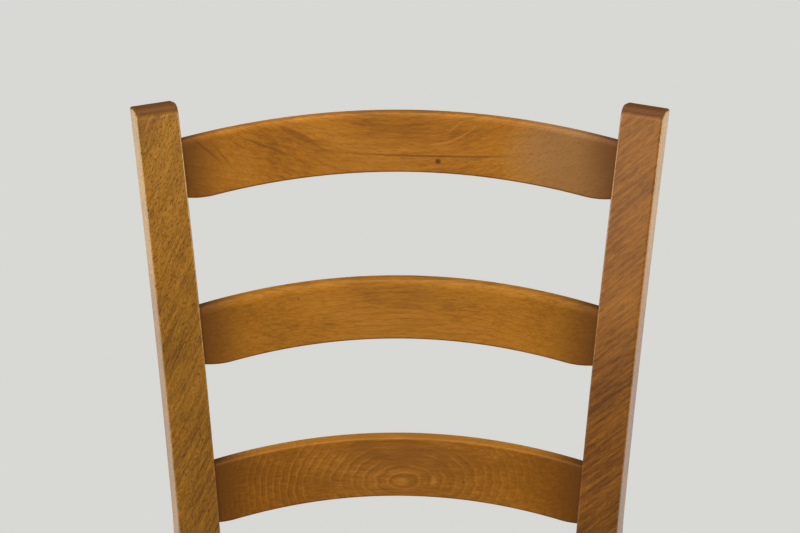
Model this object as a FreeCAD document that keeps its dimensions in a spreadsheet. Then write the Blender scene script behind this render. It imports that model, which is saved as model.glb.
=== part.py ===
"""Ladderback dining chair in beech with a woven rush seat, in millimetres.

Frame: origin on the floor under the middle of the chair, +Z up, the sitter faces -Y.
Every stick is its own solid. Slats, seat rails and stretchers end in tenons, and the back posts and
front legs hold the mortises for them. The right-hand pieces are modelled and the left-hand ones are
their mirror images.
"""

import FreeCAD, Part
import math
import os
import re

import Sketcher

from FreeCAD import Placement, Rotation, Vector

DEG = math.pi / 180.0
AXIS_X = Vector(1, 0, 0)
AXIS_Y = Vector(0, 1, 0)
AXIS_Z = Vector(0, 0, 1)

# Driving dimensions: name, value in millimetres or degrees, what it is
SIZES = (
    ("seat_level", 460, "height of the bend in the back posts, where the back starts to lean"),
    ("back_rise", 429.5, "height of the back posts above the bend"),
    ("post_width", 34.8, "back post, across"),
    ("post_back_depth", 20, "back post, front to back, beside the slats"),
    ("post_seat_depth", 36, "back post, front to back, at the seat"),
    ("post_foot_depth", 26, "back post, front to back, at the floor"),
    ("post_half_spacing", 165, "from the middle of the chair to a back post's centre at the bend"),
    ("post_turn", 21, "turn of a back post about the vertical, its front face inwards"),
    ("post_splay", -0.86, "sideways lean of a back post beyond what its turned lean gives"),
    ("back_lean", 10, "backward lean of the posts just above the bend, in a post's own plane"),
    ("back_curve", 3030, "radius of the posts' backward curve above the bend"),
    ("bend_rise", 6, "start of the front bend above the seat level"),
    ("knee_drop", 70, "start of the rear legs' sweep below the seat level"),
    ("foot_sweep", 48, "backward sweep of the rear feet"),
    ("post_top_round", 9, "radius of the front top edge of a back post"),
    ("bend_round", 150, "radius that eases each bend of a back post"),
    ("edge_round", 2, "radius of the long edges"),
    ("seat_run", 345, "front leg centres to back post centres, front to back"),
    ("leg_half_spacing", 197, "from the middle of the chair to a front leg's centre"),
    ("leg_width", 36, "front leg, square above the taper"),
    ("leg_foot_width", 28, "front leg, square at the floor"),
    ("leg_taper_level", 385, "height at which the front legs start to taper"),
    ("leg_top_level", 468, "top of the front legs"),
    ("leg_top_round", 5, "radius round the top of the front legs"),
    ("top_slat_level", 838.9, "height of the top slat's ends"),
    ("middle_slat_level", 705.2, "height of the middle slat's ends"),
    ("bottom_slat_level", 573.4, "height of the bottom slat's ends"),
    ("top_slat_height", 49.1, "top slat, up its face at the middle"),
    ("middle_slat_height", 51, "middle slat, up its face at the middle"),
    ("bottom_slat_height", 52.4, "bottom slat, up its face at the middle"),
    ("top_slat_arch", 872, "radius of the top slat's upper edge"),
    ("middle_slat_arch", 811, "radius of the middle slat's upper edge"),
    ("bottom_slat_arch", 891, "radius of the bottom slat's upper edge"),
    ("top_slat_under", 748, "radius of the top slat's lower edge"),
    ("middle_slat_under", 704, "radius of the middle slat's lower edge"),
    ("bottom_slat_under", 767, "radius of the bottom slat's lower edge"),
    ("top_slat_ear", 25, "from the post to where the top slat's lower edge levels out"),
    ("middle_slat_ear", 26, "from the post to where the middle slat's lower edge levels out"),
    ("bottom_slat_ear", 18, "from the post to where the bottom slat's lower edge levels out"),
    ("slat_thickness", 14, "slat, front to back"),
    ("slat_ear_round", 60, "radius with which the lower edge levels out"),
    ("slat_ear_slope", -6, "fall of the lower edge at the posts; below 0 it rises"),
    ("top_slat_crest", 4, "radius of the top slat's front top edge"),
    ("middle_slat_crest", 6, "radius of the middle slat's front top edge"),
    ("bottom_slat_crest", 2, "radius of the bottom slat's front top edge"),
    ("slat_edge_round", 1.8, "radius of a slat's other long edges"),
    ("slat_overrun", 14, "how far the bowed board runs into the post before it is trimmed"),
    ("slat_tenon_thickness", 9, "slat tenon, front to back"),
    ("slat_tenon_margin", 7, "shoulder above and below a slat's tenon"),
    ("rail_level", 441, "height of the seat rails' centres"),
    ("rail_width", 26, "seat rail, across"),
    ("side_rail_shift", 1, "side rails' rear ends, outward from the middle of the back posts"),
    ("rail_height", 22, "seat rail, up"),
    ("rail_edge_round", 5, "radius of the seat rails' long edges, which the rush bends over"),
    ("rail_tenon_width", 14, "seat rail tenon, across"),
    ("rail_tenon_height", 9, "seat rail tenon, up"),
    ("rail_tenon_stagger", 5.5, "height between a rail's centre and its tenon's, which pass each other"),
    ("stretcher_thickness", 15, "stretcher, across"),
    ("stretcher_height", 27, "stretcher, up"),
    ("front_stretcher_height", 38, "front stretcher, up"),
    ("stretcher_edge_round", 2.5, "radius of the stretchers' long edges"),
    ("stretcher_tenon_thickness", 9, "stretcher tenon, across"),
    ("stretcher_tenon_height", 19, "stretcher tenon, up"),
    ("front_stretcher_level", 232, "height of the front stretcher"),
    ("rear_stretcher_level", 222, "height of the rear stretcher"),
    ("low_stretcher_level", 150, "height of the lower side stretchers"),
    ("high_stretcher_level", 292, "height of the upper side stretchers"),
    ("tenon_length", 18, "how far each tenon enters"),
    ("glue_gap", 0.1, "gap round a tenon in its mortise"),
    ("glue_pocket", 1, "room for glue past the end of a tenon"),
    ("cord_thickness", 5.5, "diameter of the rush cord, one layer over and one under the rails"),
    ("seat_round", 11, "radius with which the rush rolls over the rails"),
    ("seat_groove", 4, "side of the square groove where the four fields of rush meet"),
    ("seat_clearance", 0.3, "gap between the rush and the wood"),
    ("glide_radius", 9, "plastic foot glide"),
    ("glide_height", 5, "plastic foot glide, and the gap under the wood"),
    ("nail_radius", 1.3, "shank of a glide's nail"),
    ("nail_length", 16, "shank of a glide's nail inside the foot"),
    ("nail_head_radius", 3.2, "head of a glide's nail"),
    ("nail_head_height", 1.2, "head of a glide's nail"),
    ("nail_head_recess", 1.5, "how far the head sits up from the floor"),
    ("nail_gap", 0.1, "gap round the nail in the glide and the foot"),
)

doc = FreeCAD.newDocument("ladderback_chair")
sheet = doc.addObject("Spreadsheet::Sheet", "sizes")
for row, (alias, value, meaning) in enumerate(SIZES, start=1):
    sheet.set("A%d" % row, meaning)
    sheet.set("B%d" % row, str(value))
    sheet.setAlias("B%d" % row, alias)
doc.recompute()


def size(alias):
    """The number in the sheet under this alias."""
    return float(getattr(sheet, alias))


def bind(thing, **sizes):
    """Ties properties of a thing to expressions on the sheet's cells."""
    for name, expression in sizes.items():
        thing.setExpression(name, expression)
    return thing


def cell(expression):
    """An expression with each alias in it spelled as the sheet's cell."""
    return re.sub("[a-z_]+", lambda found: CELLS.get(found.group(), found.group()), expression)


CELLS = {alias: "sizes." + alias for alias, value, meaning in SIZES}


# Sketches and bodies


def new_body(name):
    """An empty body."""
    return doc.addObject("PartDesign::Body", name)


def origin_plane(body, role):
    """One of a body's own origin planes."""
    return next(o for o in body.Origin.OriginFeatures if o.Role == role)


def new_sketch(body, name, role, height=None):
    """A sketch on one of the body's origin planes, raised by an expression if height is given."""
    sketch = body.newObject("Sketcher::SketchObject", name)
    sketch.AttachmentSupport = [(origin_plane(body, role), "")]
    sketch.MapMode = "FlatFace"
    if height is not None:
        sketch.setExpression("AttachmentOffset.Base.z", height)
    return sketch


def pin(sketch, geometry, point, across, up):
    """Holds one point of a sketch at two expressions, or at a number where no cell gives it."""
    start = sketch.getPoint(geometry, point)
    for kind, target, current in (("DistanceX", across, start.x), ("DistanceY", up, start.y)):
        if target is None:
            continue
        number = sketch.addConstraint(Sketcher.Constraint(kind, -1, 1, geometry, point, current))
        if isinstance(target, str):
            sketch.setExpression("Constraints[%d]" % number, target)


def join(sketch, first, first_point, second, second_point):
    """Makes two points of a sketch one."""
    sketch.addConstraint(
        Sketcher.Constraint("Coincident", first, first_point, second, second_point)
    )


def add_radius(sketch, geometry, expression, value):
    """Gives an arc its radius."""
    number = sketch.addConstraint(Sketcher.Constraint("Radius", geometry, value))
    if expression:
        sketch.setExpression("Constraints[%d]" % number, expression)


def line(sketch, start, end):
    """Adds a straight line and returns its number."""
    return sketch.addGeometry(Part.LineSegment(Vector(*start, 0), Vector(*end, 0)))


def arc(sketch, centre, radius, start_angle, end_angle):
    """Adds an anticlockwise arc, angles in radians, and returns its number."""
    circle = Part.Circle(Vector(*centre, 0), AXIS_Z, radius)
    return sketch.addGeometry(Part.ArcOfCircle(circle, start_angle, end_angle))


def pad(body, name, sketch, length, middle=False):
    """Pads a sketch by a length given as an expression or a number."""
    feature = body.newObject("PartDesign::Pad", name)
    feature.Profile = sketch
    if middle:
        feature.Midplane = True
    if isinstance(length, str):
        feature.setExpression("Length", length)
    else:
        feature.Length = length
    doc.recompute()
    return feature


def ease(body, name, radius, chosen):
    """Rounds the edges of a body's tip that a test picks, with a radius from the sheet."""
    base = body.Tip
    names = ["Edge%d" % n for n, edge in enumerate(base.Shape.Edges, start=1) if chosen(edge)]
    if not names:
        raise RuntimeError("no edge to round for " + name)
    feature = body.newObject("PartDesign::Fillet", name)
    feature.Base = (base, names)
    feature.setExpression("Radius", radius)
    doc.recompute()
    return feature


def middle_of(edge):
    """The point half way along an edge."""
    return edge.valueAt((edge.FirstParameter + edge.LastParameter) / 2.0)


# Boxes and booleans


def block(name, placement, length, width, height):
    """A box whose three sizes are expressions, centred across and up, starting at its placement."""
    box = doc.addObject("Part::Box", name)
    bind(box, Length=cell(length), Width=cell(width), Height=cell(height))
    doc.recompute()
    shift = Vector(0, -box.Width.Value / 2.0, -box.Height.Value / 2.0)
    box.Placement = placement.multiply(Placement(shift, Rotation()))
    return box


def cut(name, base, tools):
    """The base with every tool taken out of it, one after another."""
    for number, tool in enumerate(tools, start=1):
        result = doc.addObject("Part::Cut", "%s_cut_%d" % (name, number))
        result.Base = base
        result.Tool = tool
        base = result
    return base


def fuse(name, pieces):
    """Several overlapping solids as one, with the seams cleaned away."""
    result = doc.addObject("Part::MultiFuse", name + "_fuse")
    result.Shapes = pieces
    result.Refine = True
    return result


def mirror(name, source):
    """The mirror image of a piece on the other side of the chair."""
    result = doc.addObject("Part::Mirroring", name + "_mirror")
    result.Source = source
    result.Base = Vector(0, 0, 0)
    result.Normal = AXIS_X
    return result


# Where things are

TURN = size("post_turn")
SEAT_LEVEL = size("seat_level")
POST_ROTATION = Rotation(AXIS_Z, -TURN).multiply(Rotation(AXIS_Y, size("post_splay")))
POST = Placement(
    Vector(size("post_half_spacing"), size("seat_run") / 2.0, SEAT_LEVEL), POST_ROTATION
)
LEG_X = size("leg_half_spacing")
LEG_Y = -size("seat_run") / 2.0


class PostCurve:
    """The back post's centre line in its own plane: y is backward, z is up from the bend."""

    def __init__(self):
        self.lean = size("back_lean") * DEG
        self.half = size("post_back_depth") / 2.0
        self.radius = size("back_curve")
        front = Vector(0, -size("post_seat_depth") / 2.0, size("bend_rise"))
        outward = Vector(0, math.cos(self.lean), -math.sin(self.lean))
        self.start = front
        self.centre = front + outward * (self.radius + self.half)

    def angle_at(self, height):
        """The lean, in radians, at a height above the bend."""
        return math.asin((height - self.centre.z) / self.radius)

    def point(self, height, offset=0.0):
        """A point at a height of the centre line, or offset backward from it."""
        angle = self.angle_at(height)
        radius = self.radius - offset
        across = self.centre.y - radius * math.cos(angle)
        return Vector(0, across, self.centre.z + radius * math.sin(angle))

    def back_crossing(self):
        """Where the back edge of the curved part meets the upright back face of the seat block."""
        radius = self.radius - self.half
        across = size("post_seat_depth") / 2.0
        angle = math.acos((self.centre.y - across) / radius)
        return Vector(0, across, self.centre.z + radius * math.sin(angle))

    def leg_centre(self, height):
        """The centre of the rear leg at a height below the bend."""
        knee = -size("knee_drop")
        share = max(0.0, (knee - height) / (SEAT_LEVEL + knee))
        return Vector(0, size("foot_sweep") * share, height)


CURVE = PostCurve()


# Back posts


def post_profile(body):
    """The side profile of a back post: rear leg, seat block and curved, leaning back."""
    sketch = new_sketch(body, "post_profile", "YZ_Plane")
    half_seat = size("post_seat_depth") / 2.0
    half_foot = size("post_foot_depth") / 2.0
    sweep = size("foot_sweep")
    knee = -size("knee_drop")
    floor = -SEAT_LEVEL
    centre = (CURVE.centre.y, CURVE.centre.z)
    front_radius = CURVE.radius + CURVE.half
    back_radius = CURVE.radius - CURVE.half
    top_angle = math.asin((size("back_rise") - centre[1]) / back_radius)
    crossing = CURVE.back_crossing()
    cross_angle = math.asin((crossing.z - centre[1]) / back_radius)

    def on(radius, angle):
        return (centre[0] - radius * math.cos(angle), centre[1] + radius * math.sin(angle))

    foot_front = (sweep - half_foot, floor)
    foot_back = (sweep + half_foot, floor)
    knee_front = (-half_seat, knee)
    knee_back = (half_seat, knee)
    bend_front = (-half_seat, size("bend_rise"))
    top_front = on(front_radius, top_angle)
    top_back = on(back_radius, top_angle)
    bend_back = (crossing.y, crossing.z)

    leg_front = line(sketch, foot_front, knee_front)
    seat_front = line(sketch, knee_front, bend_front)
    back_front = arc(sketch, centre, front_radius, math.pi - top_angle, math.pi - CURVE.lean)
    top = line(sketch, top_front, top_back)
    back_back = arc(sketch, centre, back_radius, math.pi - top_angle, math.pi - cross_angle)
    seat_back = line(sketch, bend_back, knee_back)
    leg_back = line(sketch, knee_back, foot_back)
    foot = line(sketch, foot_back, foot_front)

    join(sketch, leg_front, 2, seat_front, 1)
    join(sketch, seat_front, 2, back_front, 2)
    join(sketch, back_front, 1, top, 1)
    join(sketch, top, 2, back_back, 1)
    join(sketch, back_back, 2, seat_back, 1)
    join(sketch, seat_back, 2, leg_back, 1)
    join(sketch, leg_back, 2, foot, 1)
    join(sketch, foot, 2, leg_front, 1)
    join(sketch, back_front, 3, back_back, 3)

    pin(sketch, leg_front, 1, cell("foot_sweep - post_foot_depth / 2"), cell("-seat_level"))
    pin(sketch, leg_back, 2, cell("foot_sweep + post_foot_depth / 2"), cell("-seat_level"))
    pin(sketch, leg_front, 2, cell("-post_seat_depth / 2"), cell("-knee_drop"))
    pin(sketch, leg_back, 1, cell("post_seat_depth / 2"), cell("-knee_drop"))
    pin(sketch, seat_front, 2, cell("-post_seat_depth / 2"), cell("bend_rise"))
    reach = "(back_curve + post_back_depth / 2)"
    middle = cell("-post_seat_depth / 2 + " + reach + " * cos(back_lean)")
    pin(sketch, back_front, 3, middle, None)
    pin(sketch, back_back, 1, None, cell("back_rise"))
    pin(sketch, back_back, 2, cell("post_seat_depth / 2"), None)
    add_radius(sketch, back_front, cell("back_curve + post_back_depth / 2"), front_radius)
    add_radius(sketch, back_back, cell("back_curve - post_back_depth / 2"), back_radius)
    sketch.addConstraint(Sketcher.Constraint("PointOnObject", back_front, 3, top))
    return sketch


def across_edge(edge):
    """Tells whether an edge runs straight across the post, from side to side."""
    start, end = edge.Vertexes[0].Point, edge.Vertexes[-1].Point
    return abs((end - start).normalize().x) > 0.999 if start.distanceToPoint(end) > 1 else False


def make_post_blank():
    """The right back post before its mortises are cut, standing in its place."""
    body = new_body("post_body")
    profile = post_profile(body)
    pad(body, "post_plank", profile, cell("post_width"), middle=True)
    crossing = CURVE.back_crossing()
    half_seat = size("post_seat_depth") / 2.0
    bends = (
        Vector(0, -half_seat, -size("knee_drop")),
        Vector(0, half_seat, -size("knee_drop")),
        Vector(0, -half_seat, size("bend_rise")),
        crossing,
    )
    ease(
        body,
        "post_bends",
        cell("bend_round"),
        lambda e: across_edge(e) and min(middle_of(e).distanceToPoint(b) for b in bends) < 0.5,
    )
    front_top = CURVE.point(size("back_rise"))

    def is_front_top(edge):
        place = middle_of(edge)
        return across_edge(edge) and place.z > size("back_rise") and place.y < front_top.y

    ease(body, "post_top", cell("post_top_round"), is_front_top)
    width = size("post_width") / 2.0
    for side, across in (("back", half_seat), ("front", -half_seat)):
        seat_edge = Vector(width, across, 0)

        def is_seat_edge(edge, target=seat_edge):
            place = middle_of(edge)
            return abs(abs(place.x) - target.x) < 0.01 and abs(place.y - target.y) < 0.01

        ease(body, "post_%s_edges" % side, cell("edge_round"), is_seat_edge)
    body.Placement = POST
    return body


# Front legs


def square(sketch, width, centre):
    """A square sketched round a centre point, with its side given as an expression."""
    half = size(width) / 2.0
    corners = [
        (centre[0] - half, centre[1] - half),
        (centre[0] + half, centre[1] - half),
        (centre[0] + half, centre[1] + half),
        (centre[0] - half, centre[1] + half),
    ]
    sides = [line(sketch, corners[n], corners[(n + 1) % 4]) for n in range(4)]
    for n in range(4):
        join(sketch, sides[n], 2, sides[(n + 1) % 4], 1)
    for n in (0, 2):
        sketch.addConstraint(Sketcher.Constraint("Horizontal", sides[n]))
        sketch.addConstraint(Sketcher.Constraint("Vertical", sides[n + 1]))
    return sides


def leg_section(body, name, width, height):
    """A leg's square section, flush with the leg's outer and front faces at every height."""
    offset = (size("leg_width") - size(width)) / 2.0
    sketch = new_sketch(body, name, "XY_Plane", cell(height))
    sides = square(sketch, width, (offset, -offset))
    outer = cell("leg_width / 2")
    inner = cell("leg_width / 2 - " + width)
    pin(sketch, sides[0], 1, inner, cell("-leg_width / 2"))
    pin(sketch, sides[2], 1, outer, cell(width + " - leg_width / 2"))
    return sketch


def make_leg_blank():
    """The right front leg before its mortises are cut, standing in its place."""
    body = new_body("leg_body")
    upper = leg_section(body, "leg_upper_section", "leg_width", "leg_taper_level")
    pad(body, "leg_upper", upper, cell("leg_top_level - leg_taper_level"))
    foot = leg_section(body, "leg_foot_section", "leg_foot_width", "glide_height")
    knee = leg_section(body, "leg_knee_section", "leg_width", "leg_taper_level")
    taper = body.newObject("PartDesign::AdditiveLoft", "leg_taper")
    taper.Profile = foot
    taper.Sections = [knee]
    taper.Ruled = True
    doc.recompute()
    top = size("leg_top_level")
    low = size("glide_height")
    ease(
        body,
        "leg_corners",
        cell("edge_round"),
        lambda e: abs(e.tangentAt(e.FirstParameter).z) > 0.9,
    )
    ease(body, "leg_top", cell("leg_top_round"), lambda e: middle_of(e).z > top - 0.01)
    ease(
        body,
        "leg_foot",
        cell("edge_round / 2"),
        lambda e: middle_of(e).z < low + 0.01,
    )
    body.Placement = Placement(Vector(LEG_X, LEG_Y, 0), Rotation())
    return body


# Joints: where a tenon starts, which way it goes in, and its sizes

ROOT = 3.0  # how far a tenon's block runs back into its own piece, and a bar past its shoulder


def joint(name, placement, width, height):
    """A tenon and the mortise that takes it, both starting inside the tenon's own piece."""
    start = placement.multiply(Placement(Vector(-ROOT, 0, 0), Rotation()))
    tenon = block(name + "_tenon", start, "tenon_length + %g" % ROOT, width, height)
    mortise = block(
        name + "_mortise",
        start,
        "tenon_length + glue_pocket + %g" % ROOT,
        width + " + 2 * glue_gap",
        height + " + 2 * glue_gap",
    )
    return tenon, mortise


def frame_at(base, ahead, up):
    """A placement whose x axis points ahead and whose z axis is nearest to up."""
    return Placement(base, Rotation(ahead, Vector(), up, "XZY"))


def height_on_post(level, across):
    """The height above the bend, up the splayed right post, of a level on the chair."""
    splay = size("post_splay") * DEG
    return (level - SEAT_LEVEL + across * math.sin(splay)) / math.cos(splay)


def post_side_frame(level):
    """On the inner face of the right post, going into it, square to its curve."""
    across = -size("post_width") / 2.0
    height = height_on_post(level, across)
    if height > size("bend_rise"):
        centre, lean = CURVE.point(height), CURVE.angle_at(height)
    else:
        centre, lean = CURVE.leg_centre(height), 0.0
    base = Vector(across, centre.y, centre.z)
    return POST.multiply(Placement(base, Rotation(AXIS_X, -lean / DEG)))


def post_front_frame(level, outward=0.0):
    """On the front face of the right post, going straight back into it."""
    height = height_on_post(level, outward)
    knee = -size("knee_drop")
    share = max(0.0, (knee - height) / (SEAT_LEVEL + knee))
    half_seat, half_foot = size("post_seat_depth") / 2.0, size("post_foot_depth") / 2.0
    face = -half_seat + (size("foot_sweep") - half_foot + half_seat) * share
    return POST.multiply(Placement(Vector(outward, face, height), Rotation(AXIS_Z, 90)))


def leg_inner_width(height):
    """How much narrower a front leg is at a height than above its taper."""
    low, high = size("glide_height"), size("leg_taper_level")
    share = min(1.0, max(0.0, (high - height) / (high - low)))
    return (size("leg_width") - size("leg_foot_width")) * share


def leg_side_frame(height):
    """On the inner face of the right front leg, going outward into it."""
    narrowing = leg_inner_width(height)
    base = Vector(LEG_X - size("leg_width") / 2.0 + narrowing, LEG_Y - narrowing / 2.0, height)
    return frame_at(base, AXIS_X, AXIS_Z)


def leg_back_frame(height):
    """On the back face of the right front leg, going forward into it."""
    narrowing = leg_inner_width(height)
    base = Vector(LEG_X + narrowing / 2.0, LEG_Y + size("leg_width") / 2.0 - narrowing, height)
    return frame_at(base, -AXIS_Y, AXIS_Z)


# Sticks between two uprights


def stick(name, start, end, width, height, rounding):
    """A straight bar with rounded long edges from one point to another, its height kept upright."""
    ahead = end - start
    bar = doc.addObject("Part::Box", name + "_bar")
    bind(bar, Width=cell(width), Height=cell(height))
    bar.Length = ahead.Length
    doc.recompute()
    shift = Vector(0, -bar.Width.Value / 2.0, -bar.Height.Value / 2.0)
    bar.Placement = frame_at(start, ahead, AXIS_Z).multiply(Placement(shift, Rotation()))
    direction = ahead.normalize()
    rounded = doc.addObject("Part::Fillet", name + "_rounded")
    rounded.Base = bar
    edges = []
    for number, edge in enumerate(bar.Shape.Edges, start=1):
        if abs(edge.tangentAt(edge.FirstParameter).dot(direction)) > 0.999:
            edges.append((number, size(rounding), size(rounding)))
    rounded.Edges = edges
    return rounded


def inside(frame, way, width):
    """A point just inside the face that a bar of this width meets, past its slanted shoulder."""
    slant = frame.Rotation.multVec(AXIS_X).getAngle(way)
    return frame.Base + way * (ROOT + size(width) / 2.0 * math.tan(slant))


def cross_run(frame, width):
    """The ends of a bar across the chair, a little inside both uprights."""
    end = inside(frame, AXIS_X, width)
    return Vector(-end.x, end.y, end.z), end


def side_run(front, rear, width):
    """The ends of a bar along the right side, a little inside the leg and the post."""
    way = (rear.Base - front.Base).normalize()
    return inside(front, -way, width), inside(rear, way, width)


def cross_stick(name, frame, sizes, upright, lift=0.0):
    """A bar across the chair between two like uprights, with a tenon at each end.

    frame is where its right tenon enters, sizes the bar's width, height and rounding and the
    tenon's width and height, and lift the tenon's offset. Returns the bar and its right mortise.
    """
    width, height, rounding, tenon_width, tenon_height = sizes
    start, end = cross_run(frame, width)
    bar = stick(name, start, end, width, height, rounding)
    raised = Placement(Vector(0, 0, lift), Rotation()).multiply(frame)
    tenon, mortise = joint(name, raised, tenon_width, tenon_height)
    trimmed = cut(name, bar, [upright, mirror(name + "_upright", upright)])
    return fuse(name, [trimmed, tenon, mirror(name + "_tenon", tenon)]), mortise


def side_stick(name, front, rear, sizes, lift=0.0):
    """A bar along the right side, from the front leg back to the post.

    front and rear are where its tenons enter. Returns the bar, the leg's mortise and the post's.
    """
    width, height, rounding, tenon_width, tenon_height = sizes
    start, end = side_run(front, rear, width)
    bar = stick(name, start, end, width, height, rounding)
    shift = Placement(Vector(0, 0, lift), Rotation())
    tenons = []
    mortises = []
    for end_name, frame in (("front", front), ("rear", rear)):
        tenon, mortise = joint(
            name + "_" + end_name, shift.multiply(frame), tenon_width, tenon_height
        )
        tenons.append(tenon)
        mortises.append(mortise)
    trimmed = cut(name, bar, [LEG_BLANK, POST_BLANK])
    return fuse(name, [trimmed] + tenons), mortises[0], mortises[1]


# Slats


class Slat:
    """One slat: bowed backward in plan, arched in front view, tenoned into both posts."""

    def __init__(self, name):
        self.name = name
        self.height = name + "_height"
        self.joint_frame = post_side_frame(size(name + "_level"))
        along_post = self.joint_frame.Rotation.multVec(AXIS_Z)
        self.tilt = math.atan2(along_post.y, along_post.z)
        self.half = self.joint_frame.Base.x
        self.frame = Placement(
            Vector(0, self.joint_frame.Base.y, self.joint_frame.Base.z),
            Rotation(AXIS_X, -self.tilt / DEG),
        )
        self.bow = self.half / math.sin(TURN * DEG)
        self.end = self.half + size("slat_overrun")
        self.arch = size(name + "_arch")
        self.under = size(name + "_under")
        self.rise = (self.drop(self.arch) + self.drop(self.under)) / 2.0

    def drop(self, radius):
        """How far an arc of this radius falls from the slat's middle to its post."""
        return radius - math.sqrt(radius**2 - self.half**2)

    def plan(self, body):
        """The bowed board in plan, as a band between two arcs."""
        sketch = new_sketch(body, self.name + "_plan", "XY_Plane")
        back_off = self.bow * math.cos(TURN * DEG)
        half = size("slat_thickness") / 2.0
        angle = math.asin(self.end / self.bow)
        centre = (0.0, -back_off)
        start, finish = math.pi / 2 - angle, math.pi / 2 + angle

        def on(radius, where):
            return (radius * math.cos(where), -back_off + radius * math.sin(where))

        front = arc(sketch, centre, self.bow - half, start, finish)
        rear = arc(sketch, centre, self.bow + half, start, finish)
        right = line(sketch, on(self.bow - half, start), on(self.bow + half, start))
        left = line(sketch, on(self.bow + half, finish), on(self.bow - half, finish))
        join(sketch, front, 1, right, 1)
        join(sketch, right, 2, rear, 1)
        join(sketch, rear, 2, left, 1)
        join(sketch, left, 2, front, 2)
        join(sketch, front, 3, rear, 3)
        pin(sketch, front, 3, 0.0, -back_off)
        pin(sketch, right, 1, on(self.bow - half, start)[0], None)
        pin(sketch, left, 2, on(self.bow - half, finish)[0], None)
        band = "%.6f" % self.bow
        add_radius(sketch, front, band + " - " + cell("slat_thickness / 2"), self.bow - half)
        add_radius(sketch, rear, band + " + " + cell("slat_thickness / 2"), self.bow + half)
        return sketch

    def outline(self, body):
        """What is sawn away round the slat's front view: everything outside its arched outline."""
        sketch = new_sketch(body, self.name + "_outline", "XZ_Plane")
        arch, under, ear = self.arch, self.under, size("slat_ear_round")
        half = size(self.height) / 2.0
        slope = size("slat_ear_slope") * DEG
        ear_start = self.half - size(self.name + "_ear")
        turn = math.asin(ear_start / under)
        edge = self.end + size("post_width")
        top_centre = half + self.rise - arch
        low_centre = -half + self.rise - under
        reach = under + ear
        ear_centre = (reach * math.sin(turn), low_centre + reach * math.cos(turn))
        ear_end = (
            ear_centre[0] - ear * math.sin(slope),
            ear_centre[1] - ear * math.cos(slope),
        )
        top_turn = math.asin(edge / arch)
        top_z = top_centre + arch * math.cos(top_turn)
        tail_z = ear_end[1] - (edge - ear_end[0]) * math.tan(slope)
        upright = math.pi / 2

        top = arc(sketch, (0, top_centre), arch, upright - top_turn, upright + top_turn)
        low = arc(sketch, (0, low_centre), under, upright - turn, upright + turn)
        left_end = line(sketch, (-edge, top_z), (-edge, tail_z))
        right_end = line(sketch, (edge, tail_z), (edge, top_z))
        left_tail = line(sketch, (-edge, tail_z), (-ear_end[0], ear_end[1]))
        right_tail = line(sketch, ear_end, (edge, tail_z))
        down = 3 * upright
        right_ear = arc(sketch, ear_centre, ear, down - turn, down - slope)
        left_ear = arc(sketch, (-ear_centre[0], ear_centre[1]), ear, down + slope, down + turn)
        join(sketch, top, 2, left_end, 1)
        join(sketch, left_end, 2, left_tail, 1)
        join(sketch, left_tail, 2, left_ear, 1)
        join(sketch, left_ear, 2, low, 2)
        join(sketch, low, 1, right_ear, 1)
        join(sketch, right_ear, 2, right_tail, 1)
        join(sketch, right_tail, 2, right_end, 1)
        join(sketch, right_end, 2, top, 1)
        pin(sketch, top, 3, 0.0, top_centre)
        pin(sketch, top, 1, edge, None)
        pin(sketch, top, 2, -edge, None)
        pin(sketch, low, 3, 0.0, low_centre)
        pin(sketch, low, 1, ear_start, None)
        pin(sketch, low, 2, -ear_start, None)
        for mine, side in ((right_ear, 1), (left_ear, -1)):
            pin(sketch, mine, 3, side * ear_centre[0], ear_centre[1])
        pin(sketch, right_tail, 1, ear_end[0], None)
        pin(sketch, left_tail, 2, -ear_end[0], None)
        pin(sketch, left_end, 2, -edge, tail_z)
        pin(sketch, right_end, 1, edge, tail_z)
        add_radius(sketch, top, cell(self.name + "_arch"), arch)
        add_radius(sketch, low, cell(self.name + "_under"), under)

        above = half + self.rise + edge
        waste = [(-edge * 2, -above), (edge * 2, -above), (edge * 2, above), (-edge * 2, above)]
        sides = [line(sketch, waste[n], waste[(n + 1) % 4]) for n in range(4)]
        for n in range(4):
            join(sketch, sides[n], 2, sides[(n + 1) % 4], 1)
            pin(sketch, sides[n], 1, waste[n][0], waste[n][1])
        return sketch

    def blank(self):
        """The slat as a body: a bowed board with its arched outline sawn and its edges eased."""
        body = new_body(self.name + "_body")
        tall = 2 * (size(self.height) + self.rise)
        pad(body, self.name + "_board", self.plan(body), tall, middle=True)
        sawn = body.newObject("PartDesign::Pocket", self.name + "_sawn")
        sawn.Profile = self.outline(body)
        sawn.Type = "ThroughAll"
        sawn.Midplane = True
        doc.recompute()
        half = size(self.height) / 2.0
        bulge = self.bow * (1 - math.cos(TURN * DEG))

        def along(edge):
            start, end = edge.Vertexes[0].Point, edge.Vertexes[-1].Point
            return abs(start.x - end.x) > 8 and abs(middle_of(edge).x) < self.end - 4

        def is_top_front(edge):
            place = middle_of(edge)
            high = abs(place.z - half - self.rise) < 1
            return along(edge) and high and place.y < bulge

        ease(body, self.name + "_crest", cell(self.name + "_crest"), is_top_front)
        crest_top = half + self.rise

        def is_other(edge):
            place = middle_of(edge)
            top_back = abs(place.z - crest_top) < 1 and place.y > bulge
            low = place.z < crest_top - size(self.height) + 1 and along(edge)
            return (top_back and along(edge)) or (low and abs(place.x) < 1)

        ease(body, self.name + "_arrises", cell("slat_edge_round"), is_other)
        body.Placement = self.frame
        return body

    def make(self):
        """The finished slat and its right mortise."""
        height = self.height + " - 2 * slat_tenon_margin"
        tenon, mortise = joint(self.name, self.joint_frame, "slat_tenon_thickness", height)
        ends = [POST_BLANK, mirror(self.name + "_upright", POST_BLANK)]
        trimmed = cut(self.name, self.blank(), ends)
        return fuse(self.name, [trimmed, tenon, mirror(self.name + "_tenon", tenon)]), mortise


# Foot glides


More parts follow.
